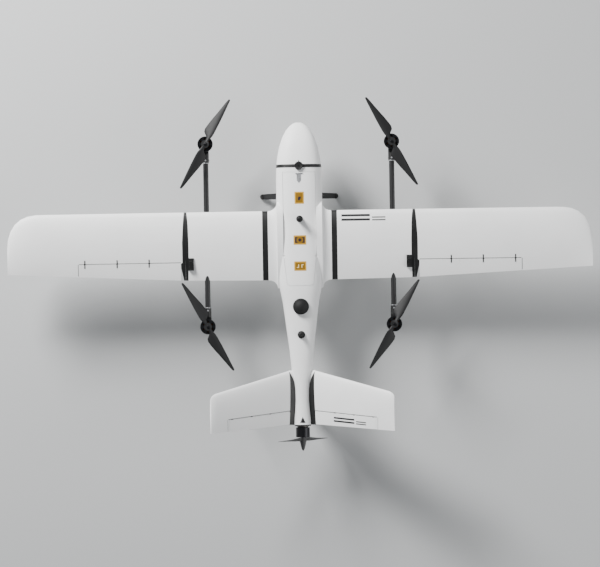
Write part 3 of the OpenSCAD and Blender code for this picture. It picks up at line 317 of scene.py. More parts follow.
def brushed_stainless():
    """Stainless steel brushed along its length: bright, with drawn-out highlights."""
    material, tree, shader, place = new_material("brushed_stainless", 0.38, metallic=0.6, Anisotropic=0.4)
    stretch = add_node(
        tree, "ShaderNodeMapping", inputs={"Scale": (1.0, 0.03, 1.0)}, links={"Vector": (place, "Object")}
    )
    strokes = add_node(
        tree, "ShaderNodeTexNoise", inputs={"Scale": 1 / (0.5 * MM), "Detail": 3.0},
        links={"Vector": (stretch, "Vector")},
    )
    blend_colours(tree, shader, (strokes, "Fac"), hex_colour("#9C9DA0"), hex_colour("#BFC0C2"))
    vary_roughness(tree, shader, (strokes, "Fac"), 0.3, 0.48)
    return material


def enamelled_copper():
    """Enamelled copper wire: orange metal in close turns under clear varnish."""
    material, tree, shader, place = new_material("enamelled_copper", 0.32, metallic=0.9, Coat_Weight=0.4)
    turns = add_node(
        tree, "ShaderNodeTexWave", bands_direction="Z", inputs={"Scale": WAVE_LENGTH / (0.9 * MM)},
        links={"Vector": (place, "Object")},
    )
    blend_colours(tree, shader, (turns, "Fac"), hex_colour("#2E190C"), hex_colour("#6E421F"))
    raise_surface(tree, shader, (turns, "Fac"), 0.5, 0.2 * MM)
    return material


def laminated_steel():
    """Stacked silicon steel sheets: dull grey with a line every millimetre."""
    material, tree, shader, place = new_material("laminated_steel", 0.5, metallic=0.8)
    sheets = add_node(
        tree, "ShaderNodeTexWave", bands_direction="Z", inputs={"Scale": WAVE_LENGTH / (1.0 * MM)},
        links={"Vector": (place, "Object")},
    )
    blend_colours(tree, shader, (sheets, "Fac"), hex_colour("#3C3B39"), hex_colour("#77746F"))
    return material


def silicone_rubber():
    """Moulded rubber: black, dull, with a soft dusty bloom."""
    material, tree, shader, place = new_material("silicone_rubber", 0.78, IOR=1.5)
    dust = add_node(
        tree, "ShaderNodeTexNoise", inputs={"Scale": 1 / (6 * MM), "Detail": 6.0},
        links={"Vector": (place, "Object")},
    )
    blend_colours(tree, shader, (dust, "Fac"), hex_colour("#0D0D0D"), hex_colour("#2B2A29"))
    raise_surface(tree, shader, (dust, "Fac"), 0.3, 0.1 * MM)
    return material


def white_nylon():
    """Moulded white nylon: slightly yellow, with a soft shine."""
    material, tree, shader, place = new_material("white_nylon", 0.4, IOR=1.53)
    haze = add_node(
        tree, "ShaderNodeTexNoise", inputs={"Scale": 1 / (8 * MM), "Detail": 2.0},
        links={"Vector": (place, "Object")},
    )
    blend_colours(tree, shader, (haze, "Fac"), hex_colour("#D9D7CF"), hex_colour("#ECEBE6"))
    vary_roughness(tree, shader, (haze, "Fac"), 0.35, 0.5)
    return material


def shrink_wrap():
    """Dark blue PVC shrink sleeve: glossy, with soft wrinkles about 15 mm apart."""
    material, tree, shader, place = new_material("shrink_wrap", 0.28, IOR=1.54)
    wrinkles = add_node(
        tree, "ShaderNodeTexNoise", inputs={"Scale": 1 / (15 * MM), "Detail": 2.0, "Distortion": 1.2},
        links={"Vector": (place, "Object")},
    )
    blend_colours(tree, shader, (wrinkles, "Fac"), hex_colour("#161E3A"), hex_colour("#22305C"))
    raise_surface(tree, shader, (wrinkles, "Fac"), 0.5, 0.6 * MM)
    return material


def woven_strap():
    """Woven nylon webbing: dull black with a 2 mm basket weave."""
    material, tree, shader, place = new_material("woven_strap", 0.85, IOR=1.5, Sheen_Weight=0.3)
    weave = add_node(
        tree, "ShaderNodeTexChecker", inputs={"Scale": 1 / (2 * MM)}, links={"Vector": (place, "Object")}
    )
    blend_colours(tree, shader, (weave, "Fac"), hex_colour("#121212"), hex_colour("#262626"))
    raise_surface(tree, shader, (weave, "Fac"), 0.6, 0.2 * MM)
    return material


def printed_vinyl(name, tint):
    """Printed vinyl film: a flat colour with faint mottling of the print, under a satin laminate."""
    material, tree, shader, place = new_material(name, 0.4, IOR=1.5, Coat_Weight=0.2, Coat_Roughness=0.3)
    print_grain = add_node(
        tree, "ShaderNodeTexNoise", inputs={"Scale": 1 / (1.5 * MM), "Detail": 3.0},
        links={"Vector": (place, "Object")},
    )
    blend_colours(tree, shader, (print_grain, "Fac"), shade(tint, 0.85), shade(tint, 1.15))
    vary_roughness(tree, shader, (print_grain, "Fac"), 0.34, 0.48)
    return material


def painted_board(tint):
    """Matte painted studio board: even, with a very faint roller texture."""
    material, tree, shader, place = new_material("painted_board", 0.9)
    roller = add_node(
        tree, "ShaderNodeTexNoise", inputs={"Scale": 1 / (9 * MM), "Detail": 4.0},
        links={"Vector": (place, "Object")},
    )
    blend_colours(tree, shader, (roller, "Fac"), shade(tint, 0.985), shade(tint, 1.015))
    raise_surface(tree, shader, (roller, "Fac"), 0.05, 0.1 * MM)
    return material


FINISHES = {
    "foam": expanded_foam,
    "black_plastic": glass_filled_nylon,
    "carbon": twill_carbon,
    "propeller": moulded_blade,
    "steel": brushed_stainless,
    "motor_metal": anodised_aluminium,
    "stator": laminated_steel,
    "rubber": silicone_rubber,
    "white_plastic": white_nylon,
    "battery_wrap": shrink_wrap,
}
MATERIALS = {}


def finish(name):
    """The material of that name, made the first time it is asked for."""
    if name not in MATERIALS:
        MATERIALS[name] = FINISHES[name]()
    return MATERIALS[name]


# ---------- Modelling helpers ----------


def deselect_all():
    """Leaves no object selected."""
    bpy.ops.object.select_all(action="DESELECT")


def make_active(piece):
    """Selects one object alone and makes it the active one."""
    deselect_all()
    piece.select_set(True)
    bpy.context.view_layer.objects.active = piece


def select_faces(test):
    """Selects the faces of the mesh in edit mode for which test(face) holds."""
    bpy.ops.mesh.select_mode(type="FACE")
    bpy.ops.mesh.select_all(action="DESELECT")
    mesh = bpy.context.edit_object.data
    shape = bmesh.from_edit_mesh(mesh)
    for face in shape.faces:
        face.select_set(bool(test(face)))
    bmesh.update_edit_mesh(mesh)


def apply_modifier(piece, kind, **settings):
    """Adds a modifier, sets it and applies it."""
    make_active(piece)
    bpy.ops.object.modifier_add(type=kind)
    modifier = piece.modifiers[-1]
    for key, value in settings.items():
        setattr(modifier, key, value)
    bpy.ops.object.modifier_apply(modifier=modifier.name)


def round_edges(piece, width, segments=2, angle=40):
    """Rounds every edge sharper than an angle in degrees."""
    apply_modifier(
        piece, "BEVEL", width=width, segments=segments, limit_method="ANGLE",
        angle_limit=math.radians(angle), harden_normals=False,
    )


def bake_place(piece):
    """Moves the object's place, turn and size into its mesh."""
    make_active(piece)
    bpy.ops.object.transform_apply(location=True, rotation=True, scale=True)


def settle(piece, name, body, material, smooth=32, stands_for=()):
    """Names a finished piece, gives it its finish and its body, and hides the nodes it stands for."""
    bake_place(piece)
    bpy.ops.object.shade_smooth_by_angle(angle=math.radians(smooth))
    piece.name = name
    piece.data.name = name
    piece.data.materials.clear()
    piece.data.materials.append(material)
    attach(piece, body)
    if stands_for:
        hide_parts(*stands_for)
    return piece


def add_cylinder(radius, height, place, sides=64, turn=(0, 0, 0)):
    """A cylinder that stands on its place before it is turned."""
    deselect_all()
    bpy.ops.mesh.primitive_cylinder_add(vertices=sides, radius=radius, depth=height, location=(0, 0, 0))
    piece = bpy.context.active_object
    bpy.ops.object.mode_set(mode="EDIT")
    bpy.ops.mesh.select_all(action="SELECT")
    bpy.ops.transform.translate(value=(0, 0, height / 2))
    bpy.ops.object.mode_set(mode="OBJECT")
    piece.rotation_euler = turn
    piece.location = place
    bake_place(piece)
    return piece


def add_block(size, place, turn=(0, 0, 0)):
    """A box of that size around its place."""
    deselect_all()
    bpy.ops.mesh.primitive_cube_add(size=1, location=place, rotation=turn)
    piece = bpy.context.active_object
    piece.scale = size
    bake_place(piece)
    return piece


def join_pieces(pieces):
    """Joins separate meshes into the first one."""
    make_active(pieces[0])
    for piece in pieces:
        piece.select_set(True)
    bpy.ops.object.join()
    return pieces[0]


def copy_piece(piece):
    """A copy with a mesh of its own."""
    make_active(piece)
    bpy.ops.object.duplicate(linked=False)
    return bpy.context.active_object


def turned_copy(piece, angle, centre, axis="Z"):
    """A copy turned about a centre, with its place baked in."""
    made = copy_piece(piece)
    made.matrix_world = (
        Matrix.Translation(centre) @ Matrix.Rotation(angle, 4, axis) @ Matrix.Translation(-Vector(centre))
    ) @ made.matrix_world
    bake_place(made)
    return made


def node_skin(node, name, material, smooth=32):
    """A copy of a CAD node with its triangles merged and smoothed, which stands for the node."""
    make_active(frame["nodes"][node])
    bpy.ops.object.duplicate(linked=False)
    skin = bpy.context.active_object
    bpy.ops.object.parent_clear(type="CLEAR_KEEP_TRANSFORM")
    for key in list(skin.keys()):
        del skin[key]
    bpy.ops.mesh.customdata_custom_splitnormals_clear()
    bpy.ops.object.mode_set(mode="EDIT")
    bpy.ops.mesh.select_all(action="SELECT")
    bpy.ops.mesh.remove_doubles(threshold=0.01 * MM)
    bpy.ops.mesh.dissolve_limited(angle_limit=math.radians(0.2))
    bpy.ops.object.mode_set(mode="OBJECT")
    body = next(b for b, members in BODIES.items() if node in members)
    return settle(skin, name, body, material, smooth, (node,))


BODIES = frame["record"]["behaviour"]["bodies"]
SLOT_OF = {row["node"]: row["material_slot"] for row in frame["record"]["subparts"]}
JOINTS = {joint["name"]: joint for joint in frame["joints"]}

FOAM_SKINS = {
    "fuselage_shell": "fuselage_skin",
    "nose_cover": "nose_skin",
    "top_hatch": "hatch_skin",
    "mid_wing_left": "mid_wing_skin_left",
    "mid_wing_right": "mid_wing_skin_right",
    "outer_wing_left": "outer_wing_skin_left",
    "outer_wing_right": "outer_wing_skin_right",
    "aileron_left": "aileron_skin_left",
    "aileron_right": "aileron_skin_right",
    "v_tail_left": "v_tail_skin_left",
    "v_tail_right": "v_tail_skin_right",
    "ruddervator_left": "ruddervator_skin_left",
    "ruddervator_right": "ruddervator_skin_right",
}
BLACK_SKINS = {
    "nose_ring": "nose_ring_skin",
    "root_ribs": "root_rib_skins",
    "joint_ribs": "joint_rib_skins",
    "outer_rib_left": "outer_rib_skin_left",
    "outer_rib_right": "outer_rib_skin_right",
    "tail_fairings": "tail_fairing_skins",
    "boom_saddles": "boom_saddle_skins",
    "motor_mounts": "motor_mount_skins",
}


class DRONE_OT_foam_skins(bpy.types.Operator):
    """Smooth foam skins of the fuselage, wings, tail and control surfaces"""

    bl_idname = "drone.foam_skins"
    bl_label = "Foam skins"

    def execute(self, context):
        for node, name in FOAM_SKINS.items():
            node_skin(node, name, finish("foam"))
        return {"FINISHED"}


class DRONE_OT_black_skins(bpy.types.Operator):
    """Smooth black skins of the ribs, fairings, saddles and motor mounts"""

    bl_idname = "drone.black_skins"
    bl_label = "Black skins"

    def execute(self, context):
        for node, name in BLACK_SKINS.items():
            node_skin(node, name, finish("black_plastic"))
        return {"FINISHED"}


# A patch starts this far above its centre and looks for the skin this far down
PATCH_LIFT = 30 * MM
PATCH_REACH = 80 * MM


def surface_patch(skin, centre, along, across, size, thickness, cuts):
    """A thin plate that lies on a skin: its outline is a rectangle, laid along two directions."""
    up = along.cross(across).normalized()
    deselect_all()
    bpy.ops.mesh.primitive_grid_add(x_subdivisions=cuts[0], y_subdivisions=cuts[1], size=1)
    patch = bpy.context.active_object
    patch.scale = (size[0], size[1], 1)
    bpy.ops.object.transform_apply(location=False, rotation=False, scale=True)
    patch.matrix_world = Matrix.Translation(centre + up * PATCH_LIFT) @ Matrix(
        (along.normalized(), up.cross(along).normalized(), up)
    ).transposed().to_4x4()
    apply_modifier(
        patch, "SHRINKWRAP", target=skin, wrap_method="PROJECT", use_project_z=True,
        use_negative_direction=True, use_positive_direction=False, project_limit=PATCH_REACH,
    )
    # a vertex that found no skin is still in the plane it started from
    if max(v.co.z for v in patch.data.vertices) > -1 * MM:
        raise RuntimeError(f"a patch at {tuple(centre)} does not lie wholly over {skin.name}")
    apply_modifier(patch, "SOLIDIFY", thickness=thickness, offset=1.0)
    return patch


X_AXIS = Vector((1, 0, 0))
Y_AXIS = Vector((0, 1, 0))


def above(skin, x, y):
    """A point level with the top of a skin."""
    return Vector((x, y, max(corner[2] for corner in bpy.data.objects[skin].bound_box)))


def printed_patch(name, skin, place, size, body, material, layer, cuts=(6, 6)):
    """A printed rectangle on a skin seen from above; a higher layer lies on the ones before it."""
    patch = surface_patch(
        bpy.data.objects[skin], above(skin, *place), X_AXIS, Y_AXIS, size,
        sizes().plate_thickness * (1 + 0.4 * layer), cuts,
    )
    return settle(patch, name, body, material)


class DRONE_OT_service_plates(bpy.types.Operator):
    """Three amber plates along the top of the hatch, with plain generic marks"""

    bl_idname = "drone.service_plates"
    bl_label = "Service plates"

    # station, width, length and the marks as (x, y, width, length), all in millimetres
    PLATES = (
        ("front", 284, 35, 45, ((1, 0, 9, 8), (-1, 5, 7, 8))),
        ("middle", 441, 47, 35, ((0, 0, 12, 5), (0, 0, 5, 12), (-15, 0, 5, 20), (15, 0, 5, 20),
                                 (-11, -8.5, 5, 3), (-11, 8.5, 5, 3), (11, -8.5, 5, 3), (11, 8.5, 5, 3))),
        ("rear", 538, 45, 35, ((-6, 0, 3, 13), (-9, 5, 7, 3), (6, 0, 3, 13), (9, -5, 7, 3))),
    )
    # How much smaller the darker centre of a plate is, both ways, in millimetres
    BORDERS = 9

    def execute(self, context):
        amber = printed_vinyl("amber_vinyl", colours().plate)
        bronze = printed_vinyl("bronze_vinyl", colours().plate_centre)
        ink = printed_vinyl("dark_ink", colours().ink)
        pale = printed_vinyl("pale_ink", hex_colour("#EBD9A4"))
        for name, at, wide, deep, marks in self.PLATES:
            y = station(at)
            printed_patch(
                f"service_plate_{name}", "hatch_skin", (0, y), (wide * MM, deep * MM), "top_hatch", amber, 0
            )
            printed_patch(
                f"service_plate_{name}_centre", "hatch_skin", (0, y),
                ((wide - self.BORDERS) * MM, (deep - self.BORDERS) * MM), "top_hatch", bronze, 1,
            )
            for number, (dx, dy, w, d) in enumerate(marks):
                printed_patch(
                    f"service_plate_{name}_mark_{number}", "hatch_skin", (-dx * MM, y + dy * MM),
                    (w * MM, d * MM), "top_hatch", pale if name == "rear" else ink, 2, (2, 2),
                )
        return {"FINISHED"}


class DRONE_OT_wing_marks(bpy.types.Operator):
    """Plain printed bars on the right wing and the right ruddervator"""

    bl_idname = "drone.wing_marks"
    bl_label = "Wing marks"

    # Each bar: distance from the start, shift along the chord, length and width, in millimetres
    WING_BARS = ((0, -8, 106, 8), (0, 8, 106, 8), (114, 0, 50, 4), (114, 10, 50, 4))
    TAIL_BARS = ((0, -6, 92, 6), (0, 6, 92, 6), (100, 0, 44, 3.5), (100, 8, 44, 3.5))
    # Where the bars start: from the centreline and the nose on the wing, and from the inner end
    # of the hinge, out along it and back from it, on the ruddervator
    WING_START = (-156, 360)
    TAIL_START = (84, 24)

    def execute(self, context):
        ink = printed_vinyl("black_wing_ink", hex_colour("#1C1C1D"))
        inner, front = self.WING_START
        for number, (along, back, long, wide) in enumerate(self.WING_BARS):
            centre = ((inner - along - long / 2) * MM, station(front + back))
            printed_patch(
                f"wing_bar_{number}", "mid_wing_skin_right", centre, (long * MM, wide * MM), "airframe",
                ink, 0, (8, 3),
            )
        start, outward, up, back_way = hinge_directions("ruddervator", "right")
        inner, front = self.TAIL_START
        for number, (along, back, long, wide) in enumerate(self.TAIL_BARS):
            centre = start + outward * (inner + along + long / 2) * MM + back_way * (front + back) * MM
            patch = surface_patch(
                bpy.data.objects["ruddervator_skin_right"], centre, back_way.cross(up), back_way,
                (long * MM, wide * MM), sizes().plate_thickness, (8, 3),
            )
            settle(patch, f"tail_bar_{number}", "ruddervator_right", ink)
        return {"FINISHED"}


def hinge_directions(kind, side):
    """Inner end of a hinge line, the ways out along it, up from the surface, and back from it."""
    joint = JOINTS[f"{kind}_{side}_hinge"]
    outward = Vector(joint["axis"]) * SIDES[side]
    up = outward.cross(Y_AXIS).normalized()
    if up.z < 0:
        up = -up
    back = outward.cross(up).normalized()
    if back.y < 0:
        back = -back
    return Vector(joint["pos_m"]), outward, up, back


def hinge_set(side, kind, places, leaf, fixed_skin, moving_skin, fixed_body, moving_body):
    """Nylon hinges along one control surface: a leaf on each side of the line and a barrel between."""
    start, outward, up, back = hinge_directions(kind, side)
    made = {"fixed": [], "moving": []}
    for place in places:
        middle = start + outward * (place * MM - abs(start.x)) / abs(outward.x)
        for role, skin, shift in (("fixed", fixed_skin, -1), ("moving", moving_skin, 1)):
            if leaf:
                centre = middle + back * shift * (leaf / 2 + 1.6 * MM)
                made[role].append(surface_patch(
                    bpy.data.objects[skin], centre, back.cross(up), back, (sizes().hinge_width, leaf),
                    0.8 * MM, (2, 6),
                ))
        turn = outward.to_track_quat("Z", "Y").to_euler()
        long = sizes().hinge_barrel
        barrel = add_cylinder(1.9 * MM, long, middle - outward * long / 2 + up * 1.5 * MM, 20, turn)
        round_edges(barrel, 0.4 * MM, 2)
        made["fixed"].append(barrel)
    for role, body in (("fixed", fixed_body), ("moving", moving_body)):
        if made[role]:
            joined = join_pieces(made[role])
            settle(joined, f"{kind}_hinge_{role}_{side}", body, finish("black_plastic"), 40)


def gap_shade_strips(side, kind, skin, body, end_width, end_depth):
    """Painted shade: dark strips with the rubber finish on the fixed part, along the hinge line and along the
    surface's outer end, where the gaps are in shade.
    """
    start, outward, up, back = hinge_directions(kind, side)
    low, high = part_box(f"{kind}_{side}")
    long = (high[0] - low[0]) / abs(outward.x) - 2 * MM
    width = sizes().gap_shade_width
    along = back.cross(up)
    line = surface_patch(
        bpy.data.objects[skin], start + outward * long / 2 - back * (0.5 * MM + width / 2), along, back,
        (long, width), 0.3 * MM, (30, 1),
    )
    outside = start + outward * (long + 3 * MM + end_width / 2) + back * end_depth / 2
    end = surface_patch(
        bpy.data.objects[skin], outside, along, back, (end_width, end_depth), 0.3 * MM, (1, 16)
    )
    # painted shade: the strip along the hinge line and the strip at the outer end are joined into one piece
    # that stands in for the gaps' shade
    settle(join_pieces([line, end]), f"{kind}_seal_{side}", body, finish("rubber"))


class DRONE_OT_surface_hinges(bpy.types.Operator):
    """Nylon hinges of the ailerons and the ruddervators, and dark strips that paint the shade in their gaps
    """

    bl_idname = "drone.surface_hinges"
    bl_label = "Surface hinges"

    # Distances of the hinges from the centreline, in millimetres
    AILERON_HINGES = (563, 682, 802)
    TAIL_HINGES = (121, 190, 261)

    def execute(self, context):
        leaf = sizes().hinge_length / 2 - 2 * MM
        for side in SIDES:
            hinge_set(
                side, "aileron", self.AILERON_HINGES, leaf, f"outer_wing_skin_{side}", f"aileron_skin_{side}",
                f"outer_wing_{side}", f"aileron_{side}",
            )
            hinge_set(
                side, "ruddervator", self.TAIL_HINGES, 0, f"v_tail_skin_{side}", f"ruddervator_skin_{side}",
                "airframe", f"ruddervator_{side}",
            )
            # painted shade: dark strips along each surface's hinge line and outer end
            gap_shade_strips(side, "aileron", f"outer_wing_skin_{side}", f"outer_wing_{side}", 1.5 * MM, 43 * MM)
            gap_shade_strips(side, "ruddervator", f"v_tail_skin_{side}", "airframe", 0.8 * MM, 44 * MM)
        return {"FINISHED"}


class DRONE_OT_nose_latch(bpy.types.Operator):
    """Ribbed latch knob with a pointer and a countersunk screw"""

    bl_idname = "drone.nose_latch"
    bl_label = "Nose latch"

    def execute(self, context):
        low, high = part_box("nose_latch")
        pivot = JOINTS["nose_latch_turn"]["pos_m"]
        radius, height = (high[0] - low[0]) / 2, 7 * MM
        base = high[2] - height
        ribs = sizes().knob_ribs
        knob = add_cylinder(radius, height, (pivot[0], pivot[1], base), ribs * 4)
        bpy.ops.object.mode_set(mode="EDIT")
        select_faces(
            lambda f: abs(f.normal.z) < 0.1
            and int((math.atan2(f.normal.y, f.normal.x) % math.tau) / math.tau * ribs * 4) % 4 < 2
        )
        bpy.ops.mesh.extrude_region_shrink_fatten(TRANSFORM_OT_shrink_fatten={"value": 1.1 * MM})
        select_faces(lambda f: f.normal.z > 0.9 and f.calc_area() > 1e-4)
        bpy.ops.mesh.inset(thickness=2.4 * MM)
        bpy.ops.mesh.inset(thickness=0.8 * MM, depth=-1.4 * MM)
        bpy.ops.object.mode_set(mode="OBJECT")
        round_edges(knob, 0.35 * MM, 2)
        pointer = add_block((5 * MM, 9 * MM, 5 * MM), (0, pivot[1] - radius - 1.5 * MM, base + 2.5 * MM))
        bpy.ops.object.mode_set(mode="EDIT")
        select_faces(lambda f: f.normal.y < -0.9)
        bpy.ops.transform.resize(value=(0.35, 1, 0.6))
        bpy.ops.object.mode_set(mode="OBJECT")
        round_edges(pointer, 0.5 * MM, 2)
        pin_length = 13.9 * MM
        pin = add_cylinder(4 * MM, pin_length, (0, pivot[1], base - pin_length), 32)
        joined = join_pieces([knob, pointer, pin])
        settle(
            joined, "latch_knob", "nose_latch", finish("black_plastic"), 35, ("nose_latch",)
        )
        screw = add_cylinder(3.2 * MM, 1.6 * MM, (0, pivot[1], base + height - 1.5 * MM), 32)
        bpy.ops.object.mode_set(mode="EDIT")
        select_faces(lambda f: f.normal.z > 0.9)
        bpy.ops.mesh.inset(thickness=1.5 * MM)
        bpy.ops.mesh.extrude_region_move(TRANSFORM_OT_translate={"value": (0, 0, -1.0 * MM)})
        bpy.ops.object.mode_set(mode="OBJECT")
        round_edges(screw, 0.2 * MM, 2)
        settle(screw, "latch_screw", "nose_latch", finish("motor_metal"))
        return {"FINISHED"}


class DRONE_OT_hatch_keeper(bpy.types.Operator):
    """Rolled bar and rivets on the stainless keeper of the hatch"""

    bl_idname = "drone.hatch_keeper"
    bl_label = "Hatch keeper"

    def execute(self, context):
        low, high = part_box("hatch_keeper")
        wide = high[0] - low[0]
        bar = add_cylinder(
            1.5 * MM, wide, (low[0], low[1] + 1.5 * MM, high[2] + 0.9 * MM), 24, (0, math.pi / 2, 0)
        )
        round_edges(bar, 0.5 * MM, 2)
        rivets = [bar]
        for back in (10, 20):
            rivet = add_cylinder(2.2 * MM, 1.2 * MM, (0, low[1] + back * MM, high[2] - 0.2 * MM), 24)
            round_edges(rivet, 0.6 * MM, 3)
            rivets.append(rivet)
        settle(join_pieces(rivets), "keeper_bar", "top_hatch", finish("steel"))
        return {"FINISHED"}


def stepped_disc(radius, levels, place, sides=72):
    """A round cap: each level is (inset, rise) from the one before, in millimetres."""
    disc = add_cylinder(radius, levels[0][1] * MM, place, sides)
    bpy.ops.object.mode_set(mode="EDIT")
    select_faces(lambda f: f.normal.z > 0.9)
    for inset, rise in levels[1:]:
        if inset:
            bpy.ops.mesh.inset(thickness=inset * MM)
        if rise:
            bpy.ops.mesh.extrude_region_move(TRANSFORM_OT_translate={"value": (0, 0, rise * MM)})
    bpy.ops.object.mode_set(mode="OBJECT")
    return disc


class DRONE_OT_roof_pieces(bpy.types.Operator):
    """Navigation puck and the two antennas on top of the fuselage"""

    bl_idname = "drone.roof_pieces"
    bl_label = "Puck and antennas"

    def execute(self, context):
        self.puck()
        self.rear_antenna()
        self.front_antenna()
        return {"FINISHED"}

    def puck(self):
        low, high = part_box("gps_puck")
        centre = ((low[0] + high[0]) / 2, (low[1] + high[1]) / 2, low[2])
        radius = (high[0] - low[0]) / 2
        disc = stepped_disc(
            radius,
            ((0, 6.5), (0.6, 0), (0, -0.001), (0, 0.9), (-0.6, 0), (0, 4.6), (2.6, 2.2), (3.0, 0.6),
             (0.8, -0.5), (1.2, 0.4), (9.0, 0.3)),
            centre,
        )
        round_edges(disc, 0.5 * MM, 2, 25)
        settle(disc, "puck_housing", "airframe", finish("black_plastic"), 40, ("gps_puck",))

    def rear_antenna(self):
        low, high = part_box("rear_antenna")
        centre = ((low[0] + high[0]) / 2, (low[1] + high[1]) / 2, low[2])
        total = (high[2] - low[2]) / MM
        stub = stepped_disc(
            (high[0] - low[0]) / 2,
            ((0, 8), (2.6, 3.4), (3.4, 0.8), (0, total - 15), (0.8, 1.6), (1.6, 0.8), (2.4, -1.2)),
            centre, 64,
        )
        round_edges(stub, 0.4 * MM, 2, 25)
        settle(
            stub, "rear_antenna_stub", "airframe", finish("black_plastic"), 40,
            ("rear_antenna",),
        )

    def front_antenna(self):
        low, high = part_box("front_antenna")
        centre = ((low[0] + high[0]) / 2, (low[1] + high[1]) / 2, low[2])
        total = (high[2] - low[2]) / MM
        stub = stepped_disc(
            (high[0] - low[0]) / 2,
            ((0, 6), (1.2, 1.0), (0, 4), (0.7, 0), (0, 1.2), (-0.7, 0), (0, total - 16.4), (1.4, 2.2),
             (2.2, 1.2), (3.0, 0.4)),
            centre, 64,
        )
        round_edges(stub, 0.4 * MM, 2, 25)
        settle(
            stub, "front_antenna_stub", "top_hatch", finish("black_plastic"), 40,
            ("front_antenna",),
        )


def rotor_centre(corner):
    """The middle of a lift rotor, on its axis."""
    return Vector(JOINTS[f"rotor_{corner}_spin"]["pos_m"])


class DRONE_OT_lift_motors(bpy.types.Operator):
    """Bells, copper coils and hub nuts of the four lift motors"""

    bl_idname = "drone.lift_motors"
    bl_label = "Lift motors"

    # Middle of a coil: out from the motor's axis, and below the top of the bell's shaft
    COIL_RING = 16 * MM
    COIL_DROP = 24.7 * MM
    # Hub screws: out from the axis
    SCREW_RING = 11.3 * MM

    def execute(self, context):
        for corner in CORNERS:
            self.coils(corner)
            self.hub_nut(corner)
            node_skin(
                f"rotor_bell_{corner}", f"bell_{corner}", finish("motor_metal")
            )
            node_skin(
                f"propeller_{corner}", f"blades_{corner}", finish("propeller"), 50
            )
        return {"FINISHED"}

    def coils(self, corner):
        """Rounded copper coils that stand on the stator, under the windows of the bell."""
        centre = rotor_centre(corner)
        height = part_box(f"rotor_bell_{corner}")[1][2] - self.COIL_DROP
        count = sizes().coils
        coil = add_block((9 * MM, 5.5 * MM, 5 * MM), (centre.x + self.COIL_RING, centre.y, height))
        bpy.ops.object.mode_set(mode="EDIT")
        bpy.ops.mesh.select_all(action="SELECT")
        bpy.ops.mesh.bevel(offset=1.8 * MM, segments=3, affect="EDGES")
        bpy.ops.object.mode_set(mode="OBJECT")
        ring = [coil]
        for number in range(1, count):
            ring.append(turned_copy(coil, math.tau * number / count, centre))
        settle(
            join_pieces(ring), f"coils_{corner}", "airframe", MATERIALS["copper"], 40
        )

    def hub_nut(self, corner):
        """Washer, hexagon nut and dome on top of a propeller hub."""
        centre = rotor_centre(corner)
        low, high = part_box(f"propeller_{corner}")
        hub_top = (low[2] + high[2]) / 2 + 3.6 * MM
        washer = add_cylinder(8.5 * MM, 1.2 * MM, (centre.x, centre.y, hub_top), 48)
        round_edges(washer, 0.3 * MM, 2)
        nut = add_cylinder(5.8 * MM, 5 * MM, (centre.x, centre.y, hub_top + 1.2 * MM), 6)
        bpy.ops.object.mode_set(mode="EDIT")
        select_faces(lambda f: f.normal.z > 0.9)
        bpy.ops.mesh.inset(thickness=0.9 * MM)
        bpy.ops.mesh.extrude_region_move(TRANSFORM_OT_translate={"value": (0, 0, 0.8 * MM)})
        bpy.ops.object.mode_set(mode="OBJECT")
        round_edges(nut, 0.4 * MM, 2)
        screws = [washer, nut]
        for turn in range(4):
            angle = math.tau * turn / 4 + math.pi / 4
            out = self.SCREW_RING * Vector((math.cos(angle), math.sin(angle), 0))
            place = (centre.x + out.x, centre.y + out.y, hub_top)
            screw = add_cylinder(1.6 * MM, 1.4 * MM, place, 16)
            round_edges(screw, 0.3 * MM, 2)
            screws.append(screw)
        settle(
            join_pieces(screws), f"hub_nut_{corner}", f"rotor_{corner}", finish("motor_metal"),
        )


class DRONE_OT_boom_bands(bpy.types.Operator):
    """Steel clamp bands at the ends of the four motor mounts' sleeves"""

    bl_idname = "drone.boom_bands"
    bl_label = "Boom bands"

    # From a rotor's axis to the front face of its band
    FRONT_SHIFT = 69 * MM
    REAR_SHIFT = -71.5 * MM

    def execute(self, context):
        low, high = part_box("booms")
        boom_height = (low[2] + high[2]) / 2
        bands = []
        for corner in CORNERS:
            centre = rotor_centre(corner)
            shift = self.FRONT_SHIFT if corner.startswith("front") else self.REAR_SHIFT
            place = (centre.x, centre.y + shift, boom_height)
            band = add_cylinder(13.1 * MM, 2.5 * MM, place, 48, (-math.pi / 2, 0, 0))
            bpy.ops.object.mode_set(mode="EDIT")
            select_faces(lambda f: abs(f.normal.y) > 0.9)
            bpy.ops.mesh.inset(thickness=2.4 * MM, use_individual=True)
            bpy.ops.mesh.bridge_edge_loops()
            bpy.ops.object.mode_set(mode="OBJECT")
            round_edges(band, 0.4 * MM, 2)
            bands.append(band)
        settle(join_pieces(bands), "boom_bands", "airframe", finish("steel"))
        return {"FINISHED"}


class DRONE_OT_pusher(bpy.types.Operator):
    """Bell, blades and mount screws of the pusher"""

    bl_idname = "drone.pusher"
    bl_label = "Pusher"

    # Mount screws: out from the shaft's axis
    SCREW_RING = 28 * MM

    def execute(self, context):
        node_skin("pusher_bell", "pusher_bell_skin", finish("motor_metal"))
        grey = moulded_blade("moulded_grey_nylon", colours().pusher_blade)
        node_skin("pusher_propeller", "pusher_blades", grey, 50)
        self.mount_plate()
        return {"FINISHED"}

    def mount_plate(self):
        """Four cap screws on the rear face of the mounting plate."""
        low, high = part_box("pusher_mount")
        middle = [(a + b) / 2 for a, b in zip(low, high)]
        screws = []
        for turn in range(4):
            angle = math.tau * turn / 4 + math.pi / 4
            across = self.SCREW_RING * math.cos(angle)
            up = self.SCREW_RING * math.sin(angle)
            place = (middle[0] + across, high[1] - 0.5 * MM, middle[2] + up)
            screw = add_cylinder(2.4 * MM, 2.4 * MM, place, 20, (-math.pi / 2, 0, 0))
            round_edges(screw, 0.4 * MM, 2)
            screws.append(screw)
        settle(join_pieces(screws), "pusher_mount_screws", "airframe", finish("steel"))


